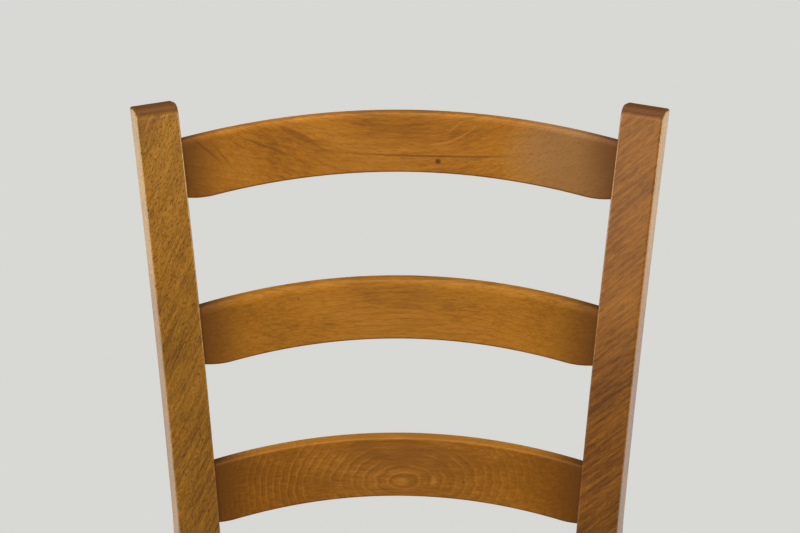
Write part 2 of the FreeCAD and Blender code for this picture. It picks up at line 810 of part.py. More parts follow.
def rod(name, base, radius, height):
    """An upright cylinder with its radius and height from the sheet."""
    cylinder = doc.addObject("Part::Cylinder", name)
    bind(cylinder, Radius=cell(radius), Height=cell(height))
    cylinder.Placement = Placement(base, Rotation())
    return cylinder


def make_glide(name, foot):
    """A plastic glide, its nail, and the hole for the nail in the foot above it."""
    recess = Vector(0, 0, size("nail_head_recess"))
    disc = rod(name + "_disc", foot, "glide_radius", "glide_height")
    shank_height = "glide_height - nail_head_recess + nail_length"
    head = rod(name + "_head", foot + recess, "nail_head_radius", "nail_head_height")
    shank = rod(name + "_shank", foot + recess, "nail_radius", shank_height)
    nail = fuse(name + "_nail", [head, shank])
    hole = rod(name + "_hole", foot, "nail_radius + nail_gap", "glide_height + nail_length + 1")
    well_height = "nail_head_recess + nail_head_height + nail_gap"
    well = rod(name + "_well", foot, "nail_head_radius + nail_gap", well_height)
    return cut(name, disc, [hole, well]), nail, hole


def foot_points():
    """The centres of the right front foot and the right rear foot, on the floor."""
    inset = (size("leg_width") - size("leg_foot_width")) / 2.0
    front = Vector(LEG_X + inset, LEG_Y - inset, 0)
    drop = SEAT_LEVEL / math.cos(size("post_splay") * DEG)
    rear = POST.multVec(Vector(0, size("foot_sweep"), -drop))
    return front, Vector(rear.x, rear.y, 0)


# Rush seat


def make_seat(front_run, rear_run, right_run):
    """The woven seat as one solid: rolled over the four rails, notched at the four corners.

    Each run is the start and the end of a rail's centre line.
    """
    lift = size("rail_height") / 2.0 + size("cord_thickness")
    grown = size("rail_width") / 2.0 + size("cord_thickness")
    front_y = front_run[0].y - grown
    rear_y = rear_run[0].y + grown
    way = (right_run[1] - right_run[0]).normalize()
    near = right_run[0] + Vector(way.y, -way.x, 0) * grown

    def side_x(y):
        return near.x + (y - near.y) * way.x / way.y

    low = size("rail_level") - lift
    corners = [(side_x(front_y), front_y), (side_x(rear_y), rear_y)]
    points = [Vector(x, y, low) for x, y in corners]
    points += [Vector(-x, y, low) for x, y in reversed(corners)]
    plate = doc.addObject("Part::Feature", "seat_plate")
    face = Part.Face(Part.makePolygon(points + [points[0]]))
    plate.Shape = face.extrude(Vector(0, 0, 2 * lift))
    rolled = doc.addObject("Part::Fillet", "seat_rolled")
    rolled.Base = plate
    rolled.Edges = [
        (n, size("seat_round"), size("seat_round"))
        for n, edge in enumerate(plate.Shape.Edges, start=1)
        if abs(edge.tangentAt(edge.FirstParameter).z) < 0.01
    ]
    runs = {"front": front_run, "rear": rear_run, "right": right_run}
    runs["left"] = [Vector(-point.x, point.y, point.z) for point in right_run]
    tunnels = [seat_tunnel(name, start, end) for name, (start, end) in runs.items()]
    return cut("woven_seat", rolled, tunnels + seat_notches() + seat_grooves(lift))


def seat_tunnel(name, start, end):
    """The room that one wrapped rail takes inside the rush."""
    gap = " + 2 * seat_clearance"
    tunnel = doc.addObject("Part::Box", name + "_tunnel")
    bind(tunnel, Width=cell("rail_width" + gap), Height=cell("rail_height" + gap))
    tunnel.Length = (end - start).Length
    doc.recompute()
    shift = Vector(0, -tunnel.Width.Value / 2.0, -tunnel.Height.Value / 2.0)
    placement = frame_at(start, end - start, AXIS_Z)
    tunnel.Placement = placement.multiply(Placement(shift, Rotation()))
    return tunnel


def seat_notches():
    """The corners that the legs and posts take out of the rush."""
    gap = size("seat_clearance")
    notches = []
    inner = size("leg_width") / 2.0 + gap
    leg_box = doc.addObject("Part::Box", "leg_notch")
    reach = size("leg_half_spacing")
    leg_box.Length = leg_box.Width = leg_box.Height = reach
    leg_box.Placement = Placement(
        Vector(LEG_X - inner, LEG_Y + inner - reach, size("rail_level") - reach / 2.0), Rotation()
    )
    post_box = doc.addObject("Part::Box", "post_notch")
    post_box.Length = post_box.Width = post_box.Height = reach
    corner = Vector(
        -size("post_width") / 2.0 - gap, -size("post_seat_depth") / 2.0 - gap, -reach / 2.0
    )
    post_box.Placement = POST.multiply(Placement(corner, Rotation()))
    for box in (leg_box, post_box):
        notches += [box, mirror(box.Name, box)]
    return notches


def seat_grooves(lift):
    """The mitres where the fields of rush meet, from each corner at 45 degrees to the middle."""
    half_rail = size("rail_width") / 2.0
    front = Vector(LEG_X - size("leg_width") / 2.0, LEG_Y + half_rail, 0)
    inner = post_side_frame(size("rail_level")).Base
    rear = Vector(inner.x, inner.y - half_rail, 0)
    front_apex = Vector(0, front.y + front.x, 0)
    rear_apex = Vector(0, rear.y - rear.x, 0)
    grooves = []
    for level_name, level in (("top", lift), ("under", -lift)):
        runs = [("front", front, front_apex), ("rear", rear, rear_apex)]
        for run_name, start, end in runs:
            groove = groove_box("%s_%s_groove" % (level_name, run_name), start, end, level)
            grooves += [groove, mirror(groove.Name, groove)]
        name = level_name + "_middle_groove"
        grooves.append(groove_box(name, front_apex, rear_apex, level))
    return grooves


def groove_box(name, start, end, level):
    """A square bar on its corner, which cuts a valley along a mitre."""
    height = Vector(0, 0, size("rail_level") + level)
    bar = doc.addObject("Part::Box", name)
    bind(bar, Width=cell("seat_groove"), Height=cell("seat_groove"))
    bar.Length = (end - start).Length
    doc.recompute()
    side = size("seat_groove")
    shift = Placement(Vector(0, -side / 2.0, -side / 2.0), Rotation())
    on_corner = Placement(Vector(), Rotation(AXIS_X, 45))
    run = frame_at(start + height, end - start, AXIS_Z)
    bar.Placement = run.multiply(on_corner).multiply(shift)
    return bar


# Build the chair

PARTS = {}


def keep(name, thing):
    """Names a finished piece; the label is the name of its file."""
    PARTS[name] = thing


POST_BLANK = make_post_blank()
LEG_BLANK = make_leg_blank()
post_mortises = []
leg_mortises = []

for slat_name in ("top", "middle", "bottom"):
    slat, mortise = Slat(slat_name + "_slat").make()
    keep(slat_name + "_slat", slat)
    post_mortises.append(mortise)

RAIL = ("rail_width", "rail_height", "rail_edge_round", "rail_tenon_width", "rail_tenon_height")
STRETCHER = (
    "stretcher_thickness",
    "stretcher_height",
    "stretcher_edge_round",
    "stretcher_tenon_thickness",
    "stretcher_tenon_height",
)
FRONT_STRETCHER = (STRETCHER[0], "front_stretcher_height") + STRETCHER[2:]
stagger = size("rail_tenon_stagger")
rail_level = size("rail_level")

rail_frame = leg_side_frame(rail_level)
front_rail, mortise = cross_stick("front_rail", rail_frame, RAIL, LEG_BLANK, stagger)
keep("front_rail", front_rail)
leg_mortises.append(mortise)

rear_frame = post_side_frame(rail_level)
rear_rail, mortise = cross_stick("rear_rail", rear_frame, RAIL, POST_BLANK, stagger)
keep("rear_rail", rear_rail)
post_mortises.append(mortise)

frame = leg_side_frame(size("front_stretcher_level"))
bar, mortise = cross_stick("front_stretcher", frame, FRONT_STRETCHER, LEG_BLANK)
keep("front_stretcher", bar)
leg_mortises.append(mortise)

frame = post_side_frame(size("rear_stretcher_level"))
bar, mortise = cross_stick("rear_stretcher", frame, STRETCHER, POST_BLANK)
keep("rear_stretcher", bar)
post_mortises.append(mortise)

side_rail_frames = (
    leg_back_frame(rail_level),
    post_front_frame(rail_level, size("side_rail_shift")),
)
SIDE_STICKS = [("side_rail", side_rail_frames, RAIL, -stagger)]
for name, level in (("upper", size("high_stretcher_level")), ("lower", size("low_stretcher_level"))):
    frames = (leg_back_frame(level), post_front_frame(level))
    SIDE_STICKS.append((name + "_side_stretcher", frames, STRETCHER, 0.0))
for name, (front, rear), sizes, lift in SIDE_STICKS:
    bar, leg_mortise, post_mortise = side_stick(name, front, rear, sizes, lift)
    keep("right_" + name, bar)
    keep("left_" + name, mirror("left_" + name, bar))
    leg_mortises.append(leg_mortise)
    post_mortises.append(post_mortise)

nails = []
front_foot, rear_foot = foot_points()
for name, foot, mortises in (
    ("front", front_foot, leg_mortises),
    ("rear", rear_foot, post_mortises),
):
    glide, nail, hole = make_glide(name + "_glide", foot)
    keep("right_%s_glide" % name, glide)
    keep("left_%s_glide" % name, mirror("left_%s_glide" % name, glide))
    nails += [nail, mirror(name + "_nail", nail)]
    mortises.append(hole)

nail_set = doc.addObject("Part::Compound", "nail_set")
nail_set.Links = nails
keep("glide_nails", nail_set)

floor_block = doc.addObject("Part::Box", "floor_block")
block_side = 3 * size("post_width")
floor_block.Length = floor_block.Width = floor_block.Height = block_side
block_corner = rear_foot - Vector(block_side / 2.0, block_side / 2.0, block_side)
block_corner.z += size("glide_height")
floor_block.Placement = Placement(block_corner, Rotation())
right_post = cut("back_post", POST_BLANK, [floor_block] + post_mortises)
keep("right_back_post", right_post)
keep("left_back_post", mirror("left_back_post", right_post))
right_leg = cut("front_leg", LEG_BLANK, leg_mortises)
keep("right_front_leg", right_leg)
keep("left_front_leg", mirror("left_front_leg", right_leg))

seat = make_seat(
    cross_run(rail_frame, "rail_width"),
    cross_run(rear_frame, "rail_width"),
    side_run(*side_rail_frames, "rail_width"),
)
keep("woven_seat", seat)

doc.recompute()
for thing in doc.Objects:
    if "Invalid" in thing.State or "Error" in thing.State:
        raise RuntimeError("%s failed: %s" % (thing.Name, thing.State))

# Stand the chair over its origin: its overall box is centred on it, front to back

box = FreeCAD.BoundBox()
for thing in PARTS.values():
    box.add(thing.Shape.optimalBoundingBox(False, False))
shift = Vector(0, -(box.YMin + box.YMax) / 2.0, 0)

os.makedirs("parts", exist_ok=True)
for name, thing in PARTS.items():
    final = doc.addObject("Part::Feature", name)
    final.Shape = thing.Shape
    final.Label = name
    final.Placement = Placement(shift, Rotation()).multiply(final.Placement)

doc.recompute()
for name in PARTS:
    shape = doc.getObjectsByLabel(name)[0].Shape
    if shape.isNull() or not shape.isValid() or not shape.Solids:
        raise RuntimeError(name + " has no valid solid")
    shape.exportStep("parts/%s.step" % name)
    print("%-28s %d solid %10.1f mm3" % (name, len(shape.Solids), shape.Volume))
print("box", box, "shift", shift.y)
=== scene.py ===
"""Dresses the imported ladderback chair: stained beech, a wound rush seat, studio light and camera.

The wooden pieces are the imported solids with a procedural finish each, whose grain follows the way
that the piece was cut and bent. The seat's plain solid gives way to a rush seat wound cord by cord
over the four rails. Everything is in metres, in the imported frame.
"""

import logging
import math
from dataclasses import dataclass, field
from enum import Enum
from random import Random
from typing import Any, Iterable, Sequence

import bpy
from mathutils import Euler, Matrix, Vector


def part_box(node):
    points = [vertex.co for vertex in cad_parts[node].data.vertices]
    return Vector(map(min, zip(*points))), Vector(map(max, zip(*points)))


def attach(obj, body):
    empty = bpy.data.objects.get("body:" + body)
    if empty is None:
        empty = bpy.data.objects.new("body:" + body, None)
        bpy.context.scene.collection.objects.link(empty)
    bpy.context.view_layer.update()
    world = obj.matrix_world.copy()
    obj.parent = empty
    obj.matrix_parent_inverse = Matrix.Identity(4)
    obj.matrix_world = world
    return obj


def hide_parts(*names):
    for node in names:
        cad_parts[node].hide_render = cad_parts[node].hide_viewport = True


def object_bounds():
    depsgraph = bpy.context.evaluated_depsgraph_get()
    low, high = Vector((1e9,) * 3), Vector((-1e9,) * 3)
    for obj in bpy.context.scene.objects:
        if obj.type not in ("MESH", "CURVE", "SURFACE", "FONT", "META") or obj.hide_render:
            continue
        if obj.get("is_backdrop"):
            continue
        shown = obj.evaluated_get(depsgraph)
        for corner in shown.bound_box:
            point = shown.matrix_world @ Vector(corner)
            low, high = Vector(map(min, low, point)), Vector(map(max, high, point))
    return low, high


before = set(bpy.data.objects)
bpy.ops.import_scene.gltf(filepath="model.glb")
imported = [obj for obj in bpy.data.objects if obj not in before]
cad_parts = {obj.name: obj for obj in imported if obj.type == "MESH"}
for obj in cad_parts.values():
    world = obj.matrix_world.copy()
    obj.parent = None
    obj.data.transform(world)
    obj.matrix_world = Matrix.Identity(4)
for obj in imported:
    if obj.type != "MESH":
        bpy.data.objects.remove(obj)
CAD_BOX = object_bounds()

LOG = logging.getLogger("ladderback")
MM = 0.001
BODY = "root"
UPRIGHT = Vector((0.0, 0.0, 1.0))

Colour = tuple[float, float, float]
Triple = tuple[float, float, float]


def srgb(red: int, green: int, blue: int) -> Colour:
    """Turns a screen colour into the linear one that a shader takes.

    Args:
        red: red from 0 to 255.
        green: green from 0 to 255.
        blue: blue from 0 to 255.

    Returns:
        The linear colour.
    """
    def linear(level: int) -> float:
        """The linear amount of one channel."""
        share = level / 255.0
        return share / 12.92 if share <= 0.04045 else ((share + 0.055) / 1.055) ** 2.4

    return linear(red), linear(green), linear(blue)


class Value:
    """A number that varies over a surface, with arithmetic that adds Math nodes."""

    def __init__(self, board: "Board", socket: bpy.types.NodeSocket) -> None:
        """Wraps an output socket of a node on a board."""
        self.board = board
        self.socket = socket

    def maths(self, operation: str, *others: "Value | float", first: "Value | float | None" = None,
              clamp: bool = False) -> "Value":
        """Adds a Math node.

        Args:
            operation: the node's operation.
            others: the inputs after the first.
            first: the first input, or None for this value.
            clamp: whether the result is held between 0 and 1.

        Returns:
            The node's result.
        """
        inputs = {0: self if first is None else first}
        inputs.update({number: other for number, other in enumerate(others, start=1)})
        return self.board.add("ShaderNodeMath", {"operation": operation, "use_clamp": clamp}, inputs)

    def __add__(self, other: "Value | float") -> "Value":
        """The sum."""
        return self.maths("ADD", other)

    __radd__ = __add__

    def __sub__(self, other: "Value | float") -> "Value":
        """The difference."""
        return self.maths("SUBTRACT", other)

    def __rsub__(self, other: "Value | float") -> "Value":
        """The difference from a number."""
        return self.maths("SUBTRACT", self, first=other)

    def __mul__(self, other: "Value | float") -> "Value":
        """The product."""
        return self.maths("MULTIPLY", other)

    __rmul__ = __mul__

    def __truediv__(self, other: "Value | float") -> "Value":
        """The quotient."""
        return self.maths("DIVIDE", other)

    def __pow__(self, other: "Value | float") -> "Value":
        """The power."""
        return self.maths("POWER", other)

    def __abs__(self) -> "Value":
        """The size without its sign."""
        return self.maths("ABSOLUTE")

    def sine(self) -> "Value":
        """The sine of an angle in radians."""
        return self.maths("SINE")

    def root(self) -> "Value":
        """The square root."""
        return self.maths("SQRT")

    def clamped(self) -> "Value":
        """The value held between 0 and 1."""
        return self.maths("ADD", 0.0, clamp=True)

    def ramp(self, low: float, high: float) -> "Value":
        """A smooth step.

        Args:
            low: where it gives 0.
            high: where it gives 1; it may be below low.

        Returns:
            A value from 0 to 1.
        """
        flip = high < low
        limits = (high, low) if flip else (low, high)
        ends = (1.0, 0.0) if flip else (0.0, 1.0)
        return self.board.add(
            "ShaderNodeMapRange",
            {"interpolation_type": "SMOOTHSTEP"},
            {0: self, 1: limits[0], 2: limits[1], 3: ends[0], 4: ends[1]},
        )


class Board:
    """The nodes of one material or of the world, on which finishes are laid out."""

    def __init__(self, tree: bpy.types.NodeTree) -> None:
        """Clears a node tree and takes it over."""
        self.tree = tree
        tree.nodes.clear()

    @classmethod
    def material(cls, name: str) -> "tuple[bpy.types.Material, Board]":
        """Makes a new material.

        Args:
            name: its name.

        Returns:
            The material and its board.
        """
        made = bpy.data.materials.new(name)
        made.use_nodes = True
        return made, cls(made.node_tree)

    def node(self, kind: str, settings: dict[str, Any] | None = None,
             inputs: dict[Any, Any] | None = None) -> bpy.types.Node:
        """Adds any node.

        Args:
            kind: the node's type.
            settings: properties, set first; the key "stops" holds a ramp's positions and colours.
            inputs: input names or numbers, each with a value, a Value or a socket.

        Returns:
            The node.
        """
        made = self.tree.nodes.new(kind)
        for name, setting in (settings or {}).items():
            if name == "stops":
                self.fill_ramp(made, setting)
            else:
                setattr(made, name, setting)
        for name, given in (inputs or {}).items():
            if isinstance(given, Value):
                given = given.socket
            if isinstance(given, bpy.types.NodeSocket):
                self.tree.links.new(given, made.inputs[name])
            else:
                made.inputs[name].default_value = given
        return made

    @staticmethod
    def fill_ramp(made: bpy.types.Node, stops: Sequence[tuple[float, Colour]]) -> None:
        """Sets the stops of a Color Ramp node.

        Args:
            made: the node.
            stops: positions and colours from left to right.
        """
        elements = made.color_ramp.elements
        while len(elements) < len(stops):
            elements.new(1.0)
        for element, (place, colour) in zip(elements, stops):
            element.position = place
            element.color = (*colour, 1.0)

    def add(self, kind: str, settings: dict[str, Any] | None = None,
            inputs: dict[Any, Any] | None = None, output: Any = 0) -> Value:
        """Adds any node and gives one of its outputs as a value."""
        return Value(self, self.node(kind, settings, inputs).outputs[output])

    def along(self, direction: Vector, origin: Vector) -> Value:
        """How far a point of the surface lies along a direction.

        Args:
            direction: the direction, of length 1.
            origin: the point that gives 0.

        Returns:
            The distance in metres.
        """
        place = self.node("ShaderNodeTexCoord").outputs["Object"]
        return self.dot(place, direction) - float(direction.dot(origin))

    def point(self, across: "Value | float", up: "Value | float", deep: "Value | float") -> Value:
        """Three values as one vector."""
        return self.add("ShaderNodeCombineXYZ", None, {0: across, 1: up, 2: deep})

    def noise(self, vector: Value, scale: float = 1.0, detail: float = 2.0,
              roughness: float = 0.5) -> Value:
        """Soft noise around 0.5 at a vector."""
        inputs = {"Vector": vector, "Scale": scale, "Detail": detail, "Roughness": roughness}
        return self.add("ShaderNodeTexNoise", None, inputs)

    def blend(self, share: "Value | float", first: Any, second: Any) -> Value:
        """Two colours mixed by a share.

        Args:
            share: 0 for the first colour, 1 for the second.
            first: a colour or a Value.
            second: a colour or a Value.

        Returns:
            The mixed colour.
        """
        sides = [side if isinstance(side, Value) else (*side, 1.0) for side in (first, second)]
        inputs = {0: share, 6: sides[0], 7: sides[1]}
        mixed = self.node("ShaderNodeMix", {"data_type": "RGBA"}, inputs)
        return Value(self, mixed.outputs[2])

    def facing(self, way: Sequence[float]) -> Value:
        """How squarely the surface faces a direction, from -1 to 1."""
        normal = self.node("ShaderNodeNewGeometry").outputs["Normal"]
        return self.dot(normal, way)

    def dot(self, vector: Any, way: Sequence[float]) -> Value:
        """The dot product of a vector socket and a fixed direction."""
        settings, inputs = {"operation": "DOT_PRODUCT"}, {0: vector, 1: tuple(way)}
        return self.add("ShaderNodeVectorMath", settings, inputs, output="Value")

    def finish(self, surface: dict[str, Any], height: "Value | None" = None,
               relief: float = 0.0, depth: float = 0.001) -> None:
        """Adds the shader and the material's output.

        Args:
            surface: input names of the shader with their values.
            height: the height that a Bump node turns into relief.
            relief: the Bump node's strength.
            depth: the height's full depth in metres.
        """
        inputs = dict(surface)
        if height is not None:
            bump = {"Height": height, "Strength": relief, "Distance": depth}
            inputs["Normal"] = self.add("ShaderNodeBump", None, bump)
        shader = self.add("ShaderNodeBsdfPrincipled", None, inputs)
        self.node("ShaderNodeOutputMaterial", None, {"Surface": shader})


class Figure(Enum):
    """How the growth rings run over a board's face."""

    PLAIN = "straight lines, as on a board cut through the middle of the log"
    VALLEY = "lines that dip to the board's middle and rise to its ends"
    OVAL = "ovals round the board's middle, as on a bent board cut near the bark"


class Tone(Enum):
    """Whether a mark is darker or lighter than the wood round it, or a greyish painted sheen."""

    DARK = "dark"
    LIGHT = "light"
    PAINTED_SHEEN = "painted_sheen"


@dataclass(frozen=True)
class Mark:
    """A streak, line or knot in a face, or a patch of painted sheen.

    Attributes:
        along: its centre along the board from the middle.
        across: its centre up the face.
        length: half its length.
        width: half its width.
        slope: how fast it climbs along the board.
        bend: how fast its slope grows along the board.
        strength: how strong it is, from 0 to 1.
        tone: dark, light or painted sheen.
    """

    along: float
    across: float
    length: float
    width: float
    slope: float = 0.0
    bend: float = 0.0
    strength: float = 0.7
    tone: Tone = Tone.DARK


@dataclass(frozen=True)
class Cut:
    """How a piece lay in its board: where its middle is and which way its grain runs.

    Attributes:
        origin: the middle of the piece.
        fibre: the direction of the grain.
        up: the direction across the face.
        bow: radius of the bend of a steam-bent board, or 0.
    """

    origin: Vector
    fibre: Vector
    up: Vector
    bow: float = 0.0

    @property
    def through(self) -> Vector:
        """The direction into the board."""
        return self.fibre.cross(self.up).normalized()


@dataclass(frozen=True)
class Grain:
    """Noise whose patches are longer one way than another.

    Attributes:
        along: patches per metre along the grain.
        across: patches per metre across the face.
        deep: patches per metre into the board.
        detail: how many finer layers it has.
    """

    along: float
    across: float
    deep: float
    detail: float = 3.0

    def show(self, board: Board, along: Value, across: Value, deep: Value) -> Value:
        """The noise around 0.5 at a place in the board."""
        place = board.point(along * self.along, across * self.across, deep * self.deep)
        return board.noise(place, detail=self.detail)


DRIFT = Grain(7.0, 16.0, 16.0)                       # how the lines of grain wander
DRIFT_REACH = 5.0 * MM
CLOUD = Grain(12.0, 34.0, 34.0)                      # broad patches
STREAK = Grain(30.0, 420.0, 300.0)                   # fibres
THREAD = Grain(130.0, 1500.0, 900.0, detail=2.0)     # the finest fibres
THREAD_SHARE = 0.7
STAIN_STOPS = (0.12, 0.5, 0.92)                      # tones of dark, middle and light stain
# Painted shade: the span over which a post darkens towards its foot.
FOOT_SHADE_SPAN = (0.42, 0.08)                             # where a post starts and ends to darken
WAVER = Grain(60.0, 160.0, 160.0)                    # small waves of the rings
PATCH = Grain(22.0, 50.0, 50.0, detail=2.0)          # where the rings show
OVAL_CORE = 3.0 * MM
EARLY_LAG = 0.17                                     # how far pale wood lies from dark
SATIN = Grain(40.0, 40.0, 40.0, detail=2.0)          # dull and shiny places


@dataclass(frozen=True)
class Rings:
    """The growth rings on a face.

    Attributes:
        figure: how they run.
        pitch: distance between rings across the board.
        dark: strength of the dark late wood.
        light: strength of the pale early wood.
        middle: where the ovals' middle is, along and across.
        stretch: how many times longer than high the ovals are.
        crowd: how fast the ovals close up towards the ends.
        dip: how fast the lines of a valley rise to the ends.
        bias: how much stronger the rings are at the left end than at the right.
    """

    figure: Figure = Figure.PLAIN
    pitch: float = 4.0 * MM
    dark: float = 0.3
    light: float = 0.2
    middle: tuple[float, float] = (0.0, 0.0)
    stretch: float = 2.0
    crowd: float = 23.0
    dip: float = 2.1
    bias: float = 0.0


@dataclass(frozen=True)
class Beech:
    """Steamed beech, stained honey brown under a satin lacquer.

    Attributes:
        light: stain on the palest wood.
        middle: stain on most of the face.
        dark: stain in pores and late rings.
        joint_stain_and_shade: stain gathered in end grain and beside the joints, also used as
            painted shade on a slat's undersides, the back of its top edge and its ends.
        sheen_colour: painted sheen, the greyish colour of a reflection laid on a patch of the face.
        rings: how the growth rings show.
        slant: angle of the fibres to the piece, in degrees.
        fleck_strength: how strongly the short dark rays show.
        fleck_length: length of the rays.
        fibre_strength: how strongly the fine fibres show.
        cloudy: how much broad patches differ.
        painted_top_light: painted light, how much paler the upper edge is, as if lit from above.
        painted_foot_shade: painted shade, how much darker the wood is at a post's foot than at its
            top, standing in for the fall of light down the post.
        stain_and_shade_ends: half length at which the ends darken at the joints, partly with
            gathered stain and partly with painted shade from the posts, or 0.
        end_strength: how dark the gathered stain and painted shade at the ends are.
        end_run: length over which it fades.
        marks: streaks, knots and patches of painted sheen.
    """

    light: Colour
    middle: Colour
    dark: Colour
    joint_stain_and_shade: Colour = srgb(80, 45, 13)
    sheen_colour: Colour = srgb(134, 101, 66)
    rings: Rings = Rings()
    slant: float = 0.0
    fleck_strength: float = 0.5
    fleck_length: float = 5.0 * MM
    fibre_strength: float = 0.5
    cloudy: float = 0.7
    painted_top_light: float = 0.0
    painted_foot_shade: float = 0.0
    stain_and_shade_ends: float = 0.0
    end_strength: float = 0.8
    end_run: float = 26.0 * MM
    marks: tuple[Mark, ...] = ()

    def dress(self, name: str, cut: Cut) -> bpy.types.Material:
        """Makes the material for one piece.

        Args:
            name: the material's name.
            cut: how the piece lay in its board.

        Returns:
            The material.
        """
        made, board = Board.material(name)
        along = board.along(cut.fibre, cut.origin)
        across = board.along(cut.up, cut.origin)
        deep = board.along(cut.through, cut.origin)
        if cut.bow:
            deep = deep + along * along * (0.5 / cut.bow)
        drift = DRIFT.show(board, along, across, deep) - 0.5
        flow = self.flow(along, across) + drift * DRIFT_REACH
        turn = math.radians(self.slant)
        run = along * math.cos(turn) + flow * math.sin(turn)
        side = flow * math.cos(turn) - along * math.sin(turn)

        cloud = CLOUD.show(board, run, side, deep) - 0.5
        streak = STREAK.show(board, run, side, deep) - 0.5
        thread = THREAD.show(board, run, side, deep) - 0.5
        # Painted shade: the wood darkens towards a post's foot, standing in for the fall of light
        # down the post.
        if self.painted_foot_shade:
            cloud = cloud - along.ramp(*FOOT_SHADE_SPAN) * self.painted_foot_shade
        fine = streak * self.fibre_strength + thread * (self.fibre_strength * THREAD_SHARE)
        tone = cloud * self.cloudy + fine
        stops = tuple(zip(STAIN_STOPS, (self.dark, self.middle, self.light)))
        colour = board.add("ShaderNodeValToRGB", {"stops": stops}, {0: (tone + 0.5).clamped()})
        colour = self.ring(board, colour, (along, across, deep), drift)

        rays = Grain(1.1 / self.fleck_length, 1600.0, 700.0, detail=1.0)
        flecks = rays.show(board, run, side, deep).ramp(0.51, 0.68) * self.fleck_strength
        colour = self.mark(board, colour, along, across, drift)
        colour = board.blend(flecks, colour, self.dark)
        colour = self.gather(board, colour, cut, along, cloud)
        board.finish(
            {
                "Base Color": colour,
                "Roughness": SATIN.show(board, along, across, deep) * 0.12 + 0.36,
                "Specular IOR Level": 0.08,
                "Coat Weight": self.coat(board, cut),
                "Coat Roughness": 0.2,
            },
            thread * 0.5 - flecks * 0.8 + streak * 0.35,
            relief=0.25,
            depth=0.25 * MM,
        )
        return made

    def flow(self, along: Value, across: Value) -> Value:
        """The height that a line of grain keeps along the board."""
        dips = self.rings.figure is Figure.VALLEY
        return across - along * along * self.rings.dip if dips else across

    def ring(self, board: Board, colour: Value, place: tuple[Value, Value, Value],
             drift: Value) -> Value:
        """Draws the growth rings: each is a pale line that ends in a dark one.

        Args:
            board: the material's board.
            colour: the wood's colour without them.
            place: the place in the board: along, across and into it.
            drift: how the grain wanders.

        Returns:
            The colour with the rings.
        """
        rings = self.rings
        along, across, deep = place
        if rings.figure is Figure.OVAL:
            far = along - rings.middle[0]
            up = across - rings.middle[1]
            long = far * (far * far * rings.crowd + 1.0) * (1.0 / rings.stretch)
            span = (long * long + up * up + OVAL_CORE**2).root()
        else:
            span = self.flow(along, across) + deep * 0.5
        waver = (WAVER.show(board, *place) - 0.5) * 0.7
        count = span * (1.0 / rings.pitch) + drift * 2.2 + deep * 20.0 + waver
        late = (count * (2.0 * math.pi)).sine().ramp(0.6, 1.0)
        early = ((count + EARLY_LAG) * (2.0 * math.pi)).sine().ramp(-0.7, -1.0)
        patch = PATCH.show(board, *place).ramp(0.33, 0.6)
        shown = patch * (1.0 - along * rings.bias).clamped()
        colour = board.blend(late * shown * rings.dark, colour, self.dark)
        return board.blend(early * shown * rings.light, colour, self.light)

    def mark(self, board: Board, colour: Value, along: Value, across: Value,
             drift: Value) -> Value:
        """Draws the streaks, knots and patches of painted sheen.

        Args:
            board: the material's board.
            colour: the wood's colour without them.
            along: the place along the board.
            across: the place up the face.
            drift: how the grain wanders.

        Returns:
            The colour with the marks.
        """
        inks = {Tone.DARK: self.dark, Tone.LIGHT: self.light, Tone.PAINTED_SHEEN: self.sheen_colour}
        for mark in self.marks:
            far = along - mark.along
            off = across - mark.across - far * mark.slope - far * far * mark.bend
            off = off + drift * min(3.0 * MM, mark.length * 0.3)
            near = (far * (1.0 / mark.length)) ** 2.0 + (off * (1.0 / mark.width)) ** 2.0
            colour = board.blend(near.ramp(1.0, 0.1) * mark.strength, colour, inks[mark.tone])
        return colour

    def coat(self, board: Board, cut: Cut) -> Value:
        """The lacquer, which sinks into end grain and into a slat's worn edges.

        Args:
            board: the material's board.
            cut: how the piece lay in its board.

        Returns:
            The lacquer's weight, from 0 to 1.
        """
        bare = abs(board.facing(cut.fibre)).ramp(0.02, 0.3) * 0.9
        if cut.bow:
            bare = bare + abs(board.facing(cut.up)).ramp(0.05, 0.4) * 0.85
        return (1.0 - bare).clamped()

    def gather(self, board: Board, colour: Value, cut: Cut, along: Value, cloud: Value) -> Value:
        """Paints light on a slat's upward faces and shade on its undersides and the back of its top
        edge, darkens end grain where stain gathers, and darkens the ends at the joints with gathered
        stain and painted shade from the posts.

        Args:
            board: the material's board.
            colour: the wood's colour without it.
            cut: how the piece lay in its board.
            along: the place along the board.
            cloud: the wood's broad patches, which give the darkened ends a soft edge.

        Returns:
            The colour with the gathered stain and the painted light and shade.
        """
        if cut.bow:
            upward = board.facing(cut.up)
            # Painted light: faces turned upward are made paler, as if lit from above.
            colour = board.blend(upward.ramp(0.3, 0.8) * self.painted_top_light, colour, self.light)
            # Painted shade: a slat's undersides and the back of its top edge are darkened as if in
            # shadow.
            back = board.facing(cut.through).ramp(-0.1, -0.5)
            edge = upward.ramp(0.15, 0.5) * back + upward.ramp(-0.2, -0.7)
            colour = board.blend(edge * 0.7, colour, self.joint_stain_and_shade)
        end_grain = abs(board.facing(cut.fibre)).ramp(0.12, 0.6)
        colour = board.blend(end_grain * 0.85, colour, self.joint_stain_and_shade)
        # The ends at the joints darken partly with gathered stain and partly with painted shade,
        # where the posts keep light off the slat's ends.
        if self.stain_and_shade_ends:
            reach = abs(along) + cloud * (22.0 * MM)
            end = reach.ramp(self.stain_and_shade_ends - self.end_run, self.stain_and_shade_ends)
            colour = board.blend(end * self.end_strength, colour, self.joint_stain_and_shade)
        return colour


LEAF = Grain(24.0, 3.0, 90.0)                        # blades of rush; the last is per cord
RUSH_FIBRE = Grain(110.0, 46.0, 50.0, detail=2.0)    # their fibres


